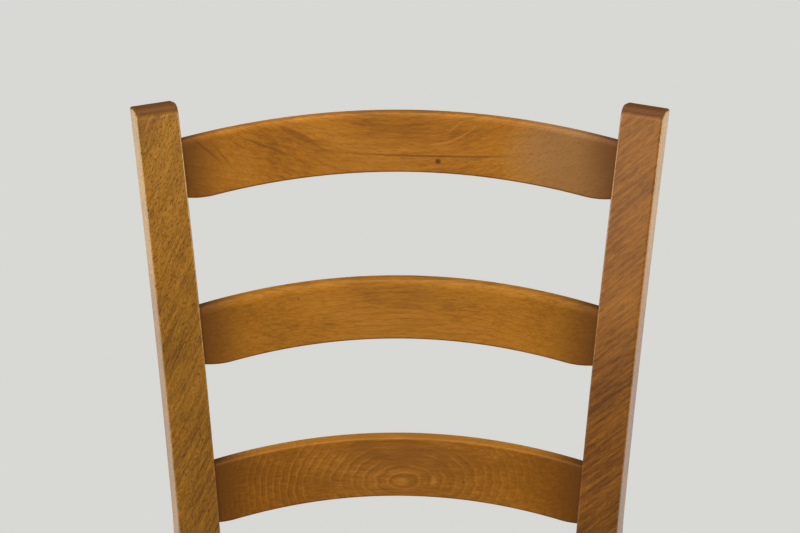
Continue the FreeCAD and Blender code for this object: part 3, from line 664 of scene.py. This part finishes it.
@dataclass(frozen=True)
class Rush:
    """Twisted rush cord, from straw yellow to olive and brown."""

    straw: Colour = srgb(205, 172, 112)
    olive: Colour = srgb(160, 139, 84)
    brown: Colour = srgb(132, 98, 55)
    lay: float = 26.0 * MM

    def dress(self, name: str) -> bpy.types.Material:
        """Makes the material; the cord's map runs along it in metres and once round it.

        Args:
            name: the material's name.

        Returns:
            The material.
        """
        made, board = Board.material(name)
        place = board.node("ShaderNodeUVMap", {"uv_map": "cord"}).outputs[0]
        split = board.node("ShaderNodeSeparateXYZ", None, {0: place})
        run, turn = Value(board, split.outputs[0]), Value(board, split.outputs[1])
        tone = board.add("ShaderNodeAttribute", {"attribute_name": "tone"}, None, output="Fac")
        twist = ((turn * 2.0 + run * (1.0 / self.lay)) * (2.0 * math.pi)).sine()
        leaf = LEAF.show(board, run, turn + run * 20.0, tone)
        fibre = RUSH_FIBRE.show(board, run, turn + run * (900.0 / 46.0), tone)
        patch = board.noise(board.point(run * 9.0, tone * 60.0, 0.0))
        colour = board.blend((tone * 0.8 + patch * 0.7 - 0.35).clamped(), self.straw, self.olive)
        colour = board.blend(leaf.ramp(0.55, 0.75) * 0.55, colour, self.brown)
        # Painted shade: the cord darkens to brown in the grooves of its twist, where the relief is
        # lowest.
        colour = board.blend(twist.ramp(-0.45, -1.0) * 0.6, colour, self.brown)
        colour = board.blend(fibre.ramp(0.58, 0.8) * 0.35, colour, self.brown)
        height = twist * 0.5 + fibre * 0.35 + leaf * 0.3
        board.finish(
            {"Base Color": colour, "Roughness": 0.62 - fibre * 0.16, "Specular IOR Level": 0.35},
            height,
            relief=0.5,
            depth=0.9 * MM,
        )
        return made


@dataclass(frozen=True)
class Plain:
    """A moulded or metal surface with a fine grain.

    Attributes:
        colour: the surface's colour.
        roughness: its roughness.
        metallic: 1 for bare metal.
        grain: size of the texture's bumps.
        worn: colour of the scuffed places.
    """

    colour: Colour
    roughness: float
    metallic: float = 0.0
    grain: float = 0.6 * MM
    worn: Colour = srgb(150, 128, 105)

    def dress(self, name: str) -> bpy.types.Material:
        """Makes the material.

        Args:
            name: the material's name.

        Returns:
            The material.
        """
        made, board = Board.material(name)
        place = Value(board, board.node("ShaderNodeTexCoord").outputs["Object"])
        speck = board.noise(place, scale=1.0 / self.grain, detail=3.0)
        scuff = board.noise(place, scale=260.0, detail=4.0).ramp(0.55, 0.7)
        colour = board.blend(scuff * 0.35, self.colour, self.worn)
        board.finish(
            {
                "Base Color": colour,
                "Roughness": speck * 0.2 + (self.roughness - 0.1),
                "Metallic": self.metallic,
            },
            speck,
            relief=0.2,
            depth=0.1 * MM,
        )
        return made


def node_middle(name: str) -> Vector:
    """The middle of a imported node's box."""
    low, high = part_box(name)
    return (Vector(low) + Vector(high)) * 0.5


def add_mesh(name: str, vertices: Sequence[Sequence[float]], faces: Sequence[tuple[int, ...]],
             made: bpy.types.Material) -> bpy.types.Object:
    """Adds a mesh to the scene.

    Args:
        name: the piece's name.
        vertices: its points in metres.
        faces: the corners of its faces.
        made: its material.

    Returns:
        The mesh's object.
    """
    mesh = bpy.data.meshes.new(name)
    mesh.from_pydata([tuple(vertex) for vertex in vertices], [], faces)
    mesh.materials.append(made)
    piece = bpy.data.objects.new(name, mesh)
    bpy.context.collection.objects.link(piece)
    LOG.info("%s: %d faces, in %s", name, len(faces), made.name)
    return piece


def paint(name: str, made: bpy.types.Material) -> None:
    """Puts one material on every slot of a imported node.

    Args:
        name: the node's name.
        made: the material.
    """
    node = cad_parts[name]
    if not node.material_slots:
        node.data.materials.append(made)
    for slot in node.material_slots:
        slot.material = made
    LOG.info("%s wears %s", name, made.name)


@dataclass
class BackPosts:
    """The two back posts, each a plank turned about the vertical and leaning back.

    Attributes:
        turn: turn of a post about the vertical, in degrees.
        lean: lean of the grain in a post's plane, in degrees.
        splay: sideways lean, in degrees.
    """

    turn: float = 21.0
    lean: float = 14.0
    splay: float = -0.86
    finishes: dict[str, Beech] = field(default_factory=dict)

    def cut(self, name: str, side: int) -> Cut:
        """How one post lay in its board.

        Args:
            name: the post's node.
            side: 1 for the right one, -1 for the left one.

        Returns:
            The cut.
        """
        spin = Matrix.Rotation(math.radians(-side * self.turn), 3, "Z")
        tip = Matrix.Rotation(math.radians(side * self.splay), 3, "Y")
        lean = math.radians(self.lean)
        fibre = spin @ tip @ Vector((0.0, math.sin(lean), math.cos(lean)))
        width = spin @ tip @ Vector((1.0, 0.0, 0.0))
        return Cut(node_middle(name), fibre.normalized(), width.normalized())

    def build(self) -> None:
        """Dresses both posts."""
        for name, side in (("left_back_post", -1), ("right_back_post", 1)):
            paint(name, self.finishes[name].dress(name + "_beech", self.cut(name, side)))


@dataclass
class Slats:
    """The three steam-bent slats between the posts.

    Attributes:
        tilts: backward tilt of each slat, in degrees.
        bows: radius of each slat's bend.
        finishes: the finish of each slat.
    """

    tilts: dict[str, float]
    bows: dict[str, float]
    finishes: dict[str, Beech] = field(default_factory=dict)

    def build(self) -> None:
        """Dresses the slats."""
        for name, finish in self.finishes.items():
            tilt = math.radians(self.tilts[name])
            up = Vector((0.0, math.sin(tilt), math.cos(tilt)))
            cut = Cut(node_middle(name), Vector((1.0, 0.0, 0.0)), up, self.bows[name])
            paint(name, finish.dress(name + "_beech", cut))


@dataclass
class Underframe:
    """Front legs, stretchers and the hidden seat rails.

    Attributes:
        finish: the finish of them all.
        sticks: the level pieces' nodes.
        legs: the front legs' nodes.
        apart: how far apart two pieces lay in the log, so that no two have the same figure.
    """

    finish: Beech
    sticks: tuple[str, ...] = (
        "front_rail", "rear_rail", "right_side_rail", "left_side_rail",
        "front_stretcher", "rear_stretcher",
        "right_upper_side_stretcher", "left_upper_side_stretcher",
        "right_lower_side_stretcher", "left_lower_side_stretcher",
    )
    legs: tuple[str, ...] = ("right_front_leg", "left_front_leg")
    apart: Vector = field(default_factory=lambda: Vector((0.13, 0.07, 0.05)))

    def build(self) -> None:
        """Dresses each stick along its own length."""
        for number, name in enumerate(self.legs + self.sticks):
            low, high = (Vector(corner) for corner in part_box(name))
            size = high - low
            seed = self.apart * number
            if name in self.legs:
                fibre, up = UPRIGHT, Vector((1.0, 0.0, 0.0))
            elif "side" in name:
                way = -size.x if name.startswith("right") else size.x
                fibre, up = Vector((way, size.y, 0.0)).normalized(), UPRIGHT
            else:
                fibre, up = Vector((1.0, 0.0, 0.0)), UPRIGHT
            paint(name, self.finish.dress(name + "_beech", Cut(low + size * 0.5 + seed, fibre, up)))


@dataclass
class Cord:
    """One length of rush cord: the points of its centre line, its radius and its tone."""

    points: list[Vector]
    radius: float
    tone: float
    start: float

    @property
    def length(self) -> float:
        """The length of its centre line."""
        return sum((after - point).length for point, after in zip(self.points, self.points[1:]))


@dataclass
class RushSeat:
    """The seat wound cord by cord over the four rails, in four fields that meet in mitres.

    Attributes:
        pitch: distance from cord to cord.
        swell: how far a long field rises over its stuffing.
        full_run: length from which a field rises that far.
        dive: how far a cord dips where it goes down at a mitre.
        seam: half the gap between the fields at a mitre.
        step: distance between the points of a cord's level run.
        sway: how far a cord strays sideways.
        rail_round: radius of the rails' edges.
        taper: how fast the side rails close in towards the back, across per length.
        rear_fan: how much wider the rear field is at its rail than at its mitres.
        post_corner: the back post's corner inside the seat, across and back.
        post_face_fall: how far the post's front face comes forward per length outwards.
        sides: sides of a cord's section.
        bend_steps: parts of the quarter turn round a rail's edge.
        grid: columns and rows of the stuffing.
        dice: the source of the small flaws.
    """

    finish: Rush
    pitch: float = 5.6 * MM
    swell: float = 3.2 * MM
    full_run: float = 90.0 * MM
    dive: float = 6.0 * MM
    seam: float = 1.5 * MM
    step: float = 14.0 * MM
    sway: float = 0.35 * MM
    rail_round: float = 5.0 * MM
    taper: float = 0.1202
    rear_fan: float = 1.0395
    post_corner: tuple[float, float] = (144.2 * MM, 102.6 * MM)
    post_face_fall: float = 0.384
    sides: int = 8
    bend_steps: int = 5
    grid: tuple[int, int] = (16, 14)
    dice: Random = field(default_factory=lambda: Random(7))

    def __post_init__(self) -> None:
        """Reads the rails and the uprights from the frame."""
        self.front = [Vector(corner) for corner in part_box("front_rail")]
        self.rear = [Vector(corner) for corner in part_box("rear_rail")]
        self.leg = [Vector(corner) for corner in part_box("right_front_leg")]
        self.radius = self.pitch * 0.49
        self.level = (self.front[0].z + self.front[1].z) * 0.5
        self.rail_half_height = (self.front[1].z - self.front[0].z) * 0.5
        self.rail_half_width = (self.front[1].y - self.front[0].y) * 0.5
        self.front_y = (self.front[0].y + self.front[1].y) * 0.5
        self.rear_y = (self.rear[0].y + self.rear[1].y) * 0.5
        self.leg_x = (self.leg[0].x + self.leg[1].x) * 0.5
        self.leg_back = self.leg[1].y
        self.front_inner = Vector((self.leg[0].x, self.front_y + self.rail_half_width, 0.0))
        self.rear_inner = Vector((*self.post_corner, 0.0))
        self.front_apex = self.front_inner.y + self.front_inner.x
        self.rear_apex = self.rear_inner.y - self.rear_inner.x

    def side_middle(self, y: float) -> float:
        """The distance of a side rail's centre line from the chair's middle."""
        return self.leg_x - (y - self.leg_back) * self.taper

    def wrap(self, rail: Vector, out: Vector, inner: Vector, half_width: float) -> list[Vector]:
        """One turn of cord: up from the mitre below, round the rail and back to the mitre above.

        Args:
            rail: the rail's centre where the cord crosses it.
            out: the level direction away from the seat's middle.
            inner: where the cord dives at the mitre, at the rail's level.
            half_width: half the rail's width along the cord.

        Returns:
            The points of the cord's centre line.
        """
        lift = self.rail_half_height + self.radius
        reach = half_width + self.radius
        bend = self.rail_round + self.radius
        run = (rail - inner).dot(out) + half_width - self.rail_round
        swell = self.swell * min(1.0, run / self.full_run)
        flat = [(0.0, lift - self.dive), (1.2 * MM, lift - self.dive * 0.35)]
        steps = max(2, int(run / self.step))
        for step in range(steps + 1):
            share = step / steps
            place = 4.0 * MM + share * max(run - 4.0 * MM, 1.0 * MM)
            flat.append((place, lift + swell * math.sin(math.pi * min(1.0, place / run)) ** 0.8))
        corner = ((rail - inner).dot(out) + reach - bend, lift - bend)
        for step in range(1, self.bend_steps):
            angle = math.pi / 2.0 * step / self.bend_steps
            flat.append((corner[0] + bend * math.sin(angle), corner[1] + bend * math.cos(angle)))
        flat.append((corner[0] + bend, corner[1]))
        upper = [inner + out * across + UPRIGHT * up for across, up in flat]
        lower = [inner + out * across - UPRIGHT * up for across, up in flat]
        return lower + list(reversed(upper))

    def cord(self, rail: Vector, inner: Vector, half_width: float) -> Cord:
        """One turn of cord with its own small flaws.

        Args:
            rail: where it crosses the rail's centre, seen from above.
            inner: where it dives at the mitre, seen from above.
            half_width: half the rail's width along the cord.

        Returns:
            The cord.
        """
        rail = rail + UPRIGHT * self.level
        inner = inner + UPRIGHT * self.level
        out = (rail - inner).normalized()
        points = self.wrap(rail, out, inner, half_width)
        sway = out.cross(UPRIGHT) * self.sway
        points = [point + sway * self.dice.uniform(-1.0, 1.0) for point in points]
        radius = self.radius * self.dice.uniform(0.95, 1.06)
        return Cord(points, radius, self.dice.random(), self.dice.uniform(0.0, 9.0))

    def across_field(self, y: float, inner: Vector, apex: float, sign: float,
                     fan: float) -> Iterable[Cord]:
        """The cords of the front or the rear field, which run front to back.

        Args:
            y: the rail's centre.
            inner: the corner where the mitre starts.
            apex: where the mitres meet on the chair's middle line.
            sign: 1 where the rail is in front of the apex, -1 where it is behind.
            fan: how much wider the cords stand at the rail than at the mitre.

        Returns:
            The cords from left to right.
        """
        count = int(inner.x * 2.0 / self.pitch)
        first = -(count - 1) * self.pitch * 0.5
        for number in range(count):
            x = first + number * self.pitch
            dive = apex - sign * (abs(x) + self.seam)
            yield self.cord(Vector((x * fan, y, 0.0)), Vector((x, dive, 0.0)), self.rail_half_width)

    def side_field(self, sign: float) -> Iterable[Cord]:
        """The cords of a side field, which run across the chair.

        Args:
            sign: 1 on the right, -1 on the left.

        Returns:
            The cords from front to back.
        """
        start = self.leg_back + self.radius
        last_inner = self.rear_inner.y - self.radius
        reach = self.side_middle(last_inner) + self.rail_half_width - self.rear_inner.x
        last_outer = last_inner - reach * self.post_face_fall
        count = int((last_inner - start) / self.pitch)
        lean = math.sqrt(1.0 + self.taper**2)
        for number in range(count + 1):
            share = number / count
            y = start + (last_inner - start) * share
            outer_y = start + (last_outer - start) * share
            if y < self.front_apex:
                x = self.front_inner.x - (y - self.front_inner.y)
            elif y > self.rear_apex:
                x = self.rear_inner.x - (self.rear_inner.y - y)
            else:
                x = 0.0
            x = max(x, 0.0) + self.seam
            rail = Vector((sign * self.side_middle(outer_y), outer_y, 0.0))
            yield self.cord(rail, Vector((sign * x, y, 0.0)), self.rail_half_width * lean)

    def cords(self) -> list[Cord]:
        """Every cord of the seat, field by field.

        Returns:
            The cords.
        """
        made = list(self.across_field(self.front_y, self.front_inner, self.front_apex, 1.0, 1.0))
        made += self.across_field(self.rear_y, self.rear_inner, self.rear_apex, -1.0, self.rear_fan)
        for sign in (1.0, -1.0):
            made += self.side_field(sign)
        return made

    def tube(self, cord: Cord, vertices: list[Vector], faces: list[tuple[int, ...]],
             maps: list[tuple[float, float]], tones: list[float]) -> None:
        """Adds one closed tube round a cord's centre line to the lists of a mesh.

        Args:
            cord: the cord.
            vertices: the mesh's vertices.
            faces: the corners of its faces.
            maps: the map's place at each corner of each face.
            tones: the cord's tone at each vertex.
        """
        base = len(vertices)
        count = len(cord.points)
        length = cord.start
        lengths: list[float] = []
        for number, point in enumerate(cord.points):
            before = cord.points[max(number - 1, 0)]
            after = cord.points[min(number + 1, count - 1)]
            length += (point - before).length
            lengths.append(length)
            ahead = (after - before).normalized()
            side = ahead.cross(self.normal_of(cord)).normalized()
            up = side.cross(ahead)
            for corner in range(self.sides):
                angle = 2.0 * math.pi * corner / self.sides
                offset = side * math.cos(angle) + up * math.sin(angle)
                vertices.append(point + offset * cord.radius)
                tones.append(cord.tone)
        for ring in range(count - 1):
            for corner in range(self.sides):
                following = (corner + 1) % self.sides
                low = base + ring * self.sides
                high = low + self.sides
                faces.append((low + corner, high + corner, high + following, low + following))
                turn, next_turn = corner / self.sides, (corner + 1) / self.sides
                maps += [(lengths[ring], turn), (lengths[ring + 1], turn),
                         (lengths[ring + 1], next_turn), (lengths[ring], next_turn)]
        last = base + (count - 1) * self.sides
        faces.append(tuple(base + corner for corner in range(self.sides)))
        faces.append(tuple(last + corner for corner in reversed(range(self.sides))))
        maps += [(lengths[0], 0.0)] * self.sides + [(lengths[-1], 0.0)] * self.sides

    @staticmethod
    def normal_of(cord: Cord) -> Vector:
        """The level direction square to the plane that a cord's turn lies in."""
        span = cord.points[len(cord.points) // 2] - cord.points[-1]
        return Vector((-span.y, span.x, 0.0)).normalized()

    def weave(self) -> bpy.types.Object:
        """The wound cords as one mesh.

        Returns:
            The mesh's object.
        """
        vertices: list[Vector] = []
        faces: list[tuple[int, ...]] = []
        maps: list[tuple[float, float]] = []
        tones: list[float] = []
        cords = self.cords()
        for cord in cords:
            self.tube(cord, vertices, faces, maps, tones)
        piece = add_mesh("rush_cords", vertices, faces, self.finish.dress("rush_cord"))
        mesh = piece.data
        layer = mesh.uv_layers.new(name="cord")
        layer.data.foreach_set("uv", [number for pair in maps for number in pair])
        tone = mesh.attributes.new("tone", "FLOAT", "POINT")
        tone.data.foreach_set("value", tones)
        mesh.polygons.foreach_set("use_smooth", [True] * len(mesh.polygons))
        wound = sum(cord.length for cord in cords)
        LOG.info("rush seat: %d turns, %.1f m of cord", len(cords), wound)
        return piece

    def stuffing(self) -> bpy.types.Object:
        """The flat pad of dry rush between the two layers.

        Returns:
            The pad's object.
        """
        inset, rise = 1.0 * MM, 1.6 * MM
        half = self.rail_half_height - inset
        front_x = self.side_middle(self.front_inner.y) - self.rail_half_width - inset
        rear_x = self.side_middle(self.rear_inner.y) - self.rail_half_width - inset
        front_y, rear_y = self.front_inner.y + inset, self.rear_inner.y - inset
        across, deep = self.grid
        vertices: list[Triple] = []
        for sign in (1.0, -1.0):
            for row in range(deep + 1):
                back = row / deep
                width = front_x + (rear_x - front_x) * back
                for column in range(across + 1):
                    side = 2.0 * column / across - 1.0
                    edge = min(1.0 - abs(side), back, 1.0 - back)
                    sunk = rise * (1.0 - min(1.0, edge * 5.0))
                    height = self.level + sign * (half - sunk)
                    vertices.append((side * width, front_y + (rear_y - front_y) * back, height))
        layer = (across + 1) * (deep + 1)
        faces: list[tuple[int, ...]] = []
        for row in range(deep):
            for column in range(across):
                corner = row * (across + 1) + column
                quad = (corner, corner + 1, corner + across + 2, corner + across + 1)
                faces.append(quad)
                faces.append(tuple(layer + number for number in reversed(quad)))
        rim = list(range(across + 1))
        rim += [(row + 1) * (across + 1) - 1 for row in range(1, deep + 1)]
        rim += [deep * (across + 1) + column for column in reversed(range(across))]
        rim += [row * (across + 1) for row in reversed(range(1, deep))]
        for number, corner in enumerate(rim):
            following = rim[(number + 1) % len(rim)]
            faces.append((corner, corner + layer, following + layer, following))
        made = Plain(srgb(120, 96, 58), 0.85, worn=srgb(90, 70, 40)).dress("stuffing")
        return add_mesh("rush_stuffing", vertices, faces, made)

    def build(self) -> None:
        """Makes the seat and puts it in the place of the plain solid."""
        for piece in (self.weave(), self.stuffing()):
            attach(piece, BODY)
            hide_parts("woven_seat")


@dataclass
class Hardware:
    """The plastic glides and their nails."""

    plastic: Plain
    steel: Plain
    glides: tuple[str, ...] = (
        "right_front_glide", "left_front_glide", "right_rear_glide", "left_rear_glide",
    )

    def build(self) -> None:
        """Dresses the glides and the nails."""
        made = self.plastic.dress("glide_plastic")
        for name in self.glides:
            paint(name, made)
        paint("glide_nails", self.steel.dress("nail_steel"))


WHITE = (1.0, 1.0, 1.0)
WARM = (0.96, 1.0, 0.82)


@dataclass
class Lamp:
    """A soft rectangular lamp that faces a target."""

    name: str
    place: Triple
    size: tuple[float, float]
    watts: float
    colour: Colour = WHITE
    target: Triple = (0.0, 0.1, 0.6)

    def build(self) -> None:
        """Hangs the lamp."""
        data = bpy.data.lights.new(self.name, "AREA")
        data.shape = "RECTANGLE"
        data.size, data.size_y = self.size
        data.energy = self.watts
        data.color = self.colour
        lamp = bpy.data.objects.new(self.name, data)
        way = Vector(self.target) - Vector(self.place)
        lamp.location = self.place
        lamp.rotation_euler = way.to_track_quat("-Z", "Y").to_euler()
        bpy.context.collection.objects.link(lamp)


@dataclass
class Studio:
    """The pale room: floor, surroundings, lamps and camera.

    Attributes:
        pale: the backdrop's colour, which the camera sees all round.
        cover: the floor's own colour.
        floor_half: half the floor's side.
        floor_drop: how far the floor lies below the feet.
        floor_fade: distances from the middle at which it starts and ends to melt away.
        room: strength of the room's light on dull surfaces.
        sweep: how the pale floor looks in shiny surfaces.
        dusk: how bright the room beyond the pale floor looks in shiny surfaces.
        ceiling: how bright the ceiling looks in them.
        window: how bright the window at the front left looks in them.
        window_azimuth: its direction to the left of the front, in degrees.
        window_height: its elevation, in degrees.
        focal_pixels: focal length in pixels of the picture.
        picture_width: the picture's width in pixels.
        axis_pixel: column of the picture that the chair's middle falls on.
        target: the point of the chair that the camera stands opposite to.
        distance: from the camera to that point.
        elevation: of the camera over that point, in degrees.
        pitch: how far the camera looks down, in degrees.
        roll: turn of the picture, in degrees.
    """

    pale: Colour = srgb(216, 216, 213)
    cover: Colour = srgb(172, 172, 170)
    floor_half: float = 1.25
    floor_drop: float = 0.5 * MM
    floor_fade: tuple[float, float] = (0.35, 0.95)
    room: float = 0.62
    sweep: Colour = (0.98, 0.95, 0.78)
    dusk: float = 0.05
    ceiling: float = 0.5
    window: float = 0.9
    window_azimuth: float = 40.0
    window_height: float = 14.0
    focal_pixels: float = 2716.1
    picture_width: int = 800
    axis_pixel: float = 399.0
    target: Triple = (0.0, 0.1747, 0.73)
    distance: float = 2.2
    elevation: float = 31.0
    pitch: float = 30.19
    roll: float = 0.22

    def backdrop(self) -> None:
        """Colours the world: pale to the camera, a room with a window in reflections."""
        world = bpy.data.worlds.new("pale_room")
        bpy.context.scene.world = world
        world.use_nodes = True
        board = Board(world.node_tree)
        rays = board.node("ShaderNodeLightPath").outputs
        plain = Value(board, rays["Is Camera Ray"]) + Value(board, rays["Is Transmission Ray"])
        light = board.add("ShaderNodeBackground", None, {0: (*WHITE, 1.0), 1: self.room})
        shown = board.add("ShaderNodeBackground", None, {0: (*self.pale, 1.0), 1: 1.0})
        mirrored = board.add("ShaderNodeBackground", None, {0: self.mirrored(board), 1: 1.0})
        inputs = {0: rays["Is Glossy Ray"], 1: light, 2: mirrored}
        mixed = board.add("ShaderNodeMixShader", None, inputs)
        mixed = board.add("ShaderNodeMixShader", None, {0: plain.clamped(), 1: mixed, 2: shown})
        board.node("ShaderNodeOutputWorld", None, {"Surface": mixed})

    def mirrored(self, board: Board) -> Value:
        """The room as shiny surfaces see it: pale floor, dim walls, ceiling and window.

        Args:
            board: the world's board.

        Returns:
            The colour in each direction.
        """
        way = board.node("ShaderNodeTexCoord").outputs["Generated"]
        height = board.dot(way, UPRIGHT)
        dim, above, bright = ((level,) * 3 for level in (self.dusk, self.ceiling, self.window))
        colour = board.blend(height.ramp(-0.18, -0.36), dim, self.sweep)
        colour = board.blend(height.ramp(0.45, 0.8), colour, above)
        azimuth, lift = math.radians(self.window_azimuth), math.radians(self.window_height)
        level = math.cos(lift)
        aim = (-math.sin(azimuth) * level, -math.cos(azimuth) * level, math.sin(lift))
        return board.blend(board.dot(way, aim).ramp(0.93, 0.985), colour, bright)

    def floor(self) -> None:
        """A pale floor that keeps the chair's shadow and melts into the backdrop."""
        made, board = Board.material("pale_floor")
        place = Value(board, board.node("ShaderNodeTexCoord").outputs["Object"])
        far = board.add("ShaderNodeVectorMath", {"operation": "LENGTH"}, {0: place}, output="Value")
        cover = board.add("ShaderNodeBsdfDiffuse", None, {0: (*self.cover, 1.0)})
        glow = board.add("ShaderNodeEmission", None, {0: (*self.pale, 1.0), 1: 1.0})
        inputs = {0: far.ramp(*self.floor_fade), 1: cover, 2: glow}
        mixed = board.add("ShaderNodeMixShader", None, inputs)
        board.node("ShaderNodeOutputMaterial", None, {"Surface": mixed})
        signs = ((-1.0, -1.0), (1.0, -1.0), (1.0, 1.0), (-1.0, 1.0))
        corners = [(x * self.floor_half, y * self.floor_half, 0.0) for x, y in signs]
        piece = add_mesh("studio_floor", corners, [(0, 1, 2, 3)], made)
        piece.location.z = -self.floor_drop
        piece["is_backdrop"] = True

    def camera(self) -> None:
        """Stands the camera where the photograph was taken from."""
        data = bpy.data.cameras.new("photo_camera")
        data.sensor_width = 36.0
        data.lens = self.focal_pixels / self.picture_width * data.sensor_width
        data.clip_end = 50.0
        camera = bpy.data.objects.new("photo_camera", data)
        lift = math.radians(self.elevation)
        back = Vector((0.0, -math.cos(lift), math.sin(lift))) * self.distance
        camera.location = Vector(self.target) + back
        aside = math.atan((self.picture_width / 2.0 - self.axis_pixel) / self.focal_pixels)
        down = math.radians(self.pitch)
        level = Euler((math.pi / 2.0 - down, 0.0, -aside), "XYZ").to_matrix()
        rolled = level @ Matrix.Rotation(math.radians(self.roll), 3, "Z")
        camera.rotation_euler = rolled.to_euler()
        bpy.context.collection.objects.link(camera)
        bpy.context.scene.camera = camera

    def build(self) -> None:
        """Sets up the room."""
        bpy.context.scene.view_settings.view_transform = "Standard"
        self.backdrop()
        self.floor()
        self.camera()
        for lamp in (
            Lamp("key", (-0.9, -1.0, 2.1), (0.9, 0.9), 19.0, target=(0.0, 0.1, 0.8)),
            Lamp("fill", (1.3, -1.3, 1.8), (1.2, 1.0), 7.0),
            Lamp("top", (0.0, 0.4, 2.3), (1.2, 0.9), 11.0, target=(0.0, 0.15, 0.7)),
            Lamp("left_side", (-1.7, 0.1, 1.0), (1.0, 1.4), 32.0, WARM),
            Lamp("right_side", (1.7, 0.1, 1.0), (1.0, 1.4), 32.0, WARM),
        ):
            lamp.build()


HONEY = srgb(174, 115, 38)
AMBER = srgb(149, 93, 20)
# Painted shade: the bottom slat's stain is darker than the upper slats' to carry the fall of light
# down the back.
SHADED_OLIVE = srgb(132, 81, 15)
UMBER = srgb(92, 52, 12)


def make_slats() -> Slats:
    """The slats with the figure that each one shows.

    Returns:
        The slats.
    """
    light = Tone.LIGHT
    top = Beech(
        HONEY, AMBER, UMBER, rings=Rings(Figure.VALLEY, pitch=7.0 * MM, dark=0.16, light=0.12),
        fleck_strength=0.3, fleck_length=7.0 * MM, cloudy=0.8,
        stain_and_shade_ends=176.0 * MM, end_strength=0.8, end_run=36.0 * MM,
        marks=(
            # Painted sheen: a greyish reflection laid over the right end of the face.
            Mark(150.0 * MM, 2.0 * MM, 75.0 * MM, 50.0 * MM, strength=0.62, tone=Tone.PAINTED_SHEEN),
            Mark(31.0 * MM, -5.8 * MM, 3.2 * MM, 2.8 * MM, strength=1.0),
            Mark(28.0 * MM, -1.5 * MM, 82.0 * MM, 1.1 * MM, slope=-0.012, bend=0.42, strength=0.6),
            Mark(-80.0 * MM, 15.6 * MM, 19.0 * MM, 4.0 * MM, slope=-0.52, strength=0.5),
            Mark(-107.0 * MM, 8.0 * MM, 24.0 * MM, 1.3 * MM, slope=-0.43, strength=0.5),
            Mark(-152.7 * MM, 6.5 * MM, 13.0 * MM, 2.2 * MM, slope=-0.92, strength=0.5),
            Mark(-142.5 * MM, 3.5 * MM, 10.0 * MM, 1.6 * MM, slope=-1.27, strength=0.4),
            Mark(42.0 * MM, 11.0 * MM, 25.0 * MM, 1.2 * MM, 0.37, 12.6, 0.5, light),
            Mark(45.0 * MM, 23.0 * MM, 7.0 * MM, 0.9 * MM, slope=0.87, strength=0.45, tone=light),
        ),
    )
    middle = Beech(
        HONEY, srgb(153, 98, 22), UMBER, rings=Rings(pitch=5.0 * MM, dark=0.16, light=0.08),
        fleck_strength=0.3, fleck_length=11.0 * MM, cloudy=0.6,
        stain_and_shade_ends=166.0 * MM, end_strength=0.85, end_run=50.0 * MM,
        marks=(Mark(-81.5 * MM, 19.4 * MM, 1.0 * MM, 1.0 * MM, strength=0.9),),
    )
    bottom = Beech(
        HONEY, SHADED_OLIVE, UMBER,
        rings=Rings(Figure.OVAL, pitch=5.5 * MM, dark=0.32, light=0.32, middle=(4.0 * MM, -5.3 * MM),
                    stretch=1.8, crowd=20.0, bias=5.0),
        fleck_strength=0.25, cloudy=0.6, painted_top_light=0.35,
        stain_and_shade_ends=156.0 * MM, end_strength=0.85, end_run=50.0 * MM,
        marks=(
            Mark(2.0 * MM, -5.3 * MM, 9.0 * MM, 4.2 * MM, strength=0.45, tone=light),
            Mark(29.5 * MM, -4.0 * MM, 3.4 * MM, 5.5 * MM, strength=0.4, tone=light),
            Mark(54.5 * MM, -4.3 * MM, 1.3 * MM, 1.3 * MM, strength=0.8),
            Mark(47.0 * MM, 34.5 * MM, 3.0 * MM, 2.2 * MM, strength=0.6),
        ),
    )
    tilts = {"top_slat": 16.5, "middle_slat": 14.03, "bottom_slat": 11.62}
    bows = {"top_slat": 0.4832, "middle_slat": 0.4501, "bottom_slat": 0.4239}
    return Slats(tilts, bows, {"top_slat": top, "middle_slat": middle, "bottom_slat": bottom})


def make_posts() -> BackPosts:
    """The posts, whose flecks run aslant.

    Returns:
        The posts.
    """
    left = Beech(
        srgb(164, 111, 36), srgb(138, 92, 20), srgb(86, 52, 10), rings=Rings(dark=0.1, light=0.05),
        slant=32.0, fleck_strength=0.9, fleck_length=3.6 * MM, fibre_strength=0.8, cloudy=0.55,
        painted_foot_shade=0.25,
    )
    right = Beech(
        srgb(160, 104, 36), srgb(131, 81, 17), srgb(82, 45, 8), rings=Rings(dark=0.1, light=0.05),
        slant=44.0, fleck_strength=0.5, fleck_length=8.0 * MM, fibre_strength=0.75, cloudy=0.5,
        painted_foot_shade=0.5,
    )
    return BackPosts(finishes={"left_back_post": left, "right_back_post": right})


def main() -> None:
    """Dresses the chair and sets up the studio."""
    logging.basicConfig(level=logging.INFO, format="%(message)s")
    Studio().build()
    make_posts().build()
    make_slats().build()
    Underframe(Beech(HONEY, srgb(152, 98, 36), UMBER, fleck_strength=0.5)).build()
    RushSeat(Rush()).build()
    Hardware(Plain(srgb(70, 48, 32), 0.5), Plain(srgb(170, 170, 172), 0.35, metallic=1.0)).build()
    boxes = {"cad": CAD_BOX, "visual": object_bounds()}
    plain = {name: [list(map(float, corner)) for corner in box] for name, box in boxes.items()}


if __name__ == "__main__":
    main()
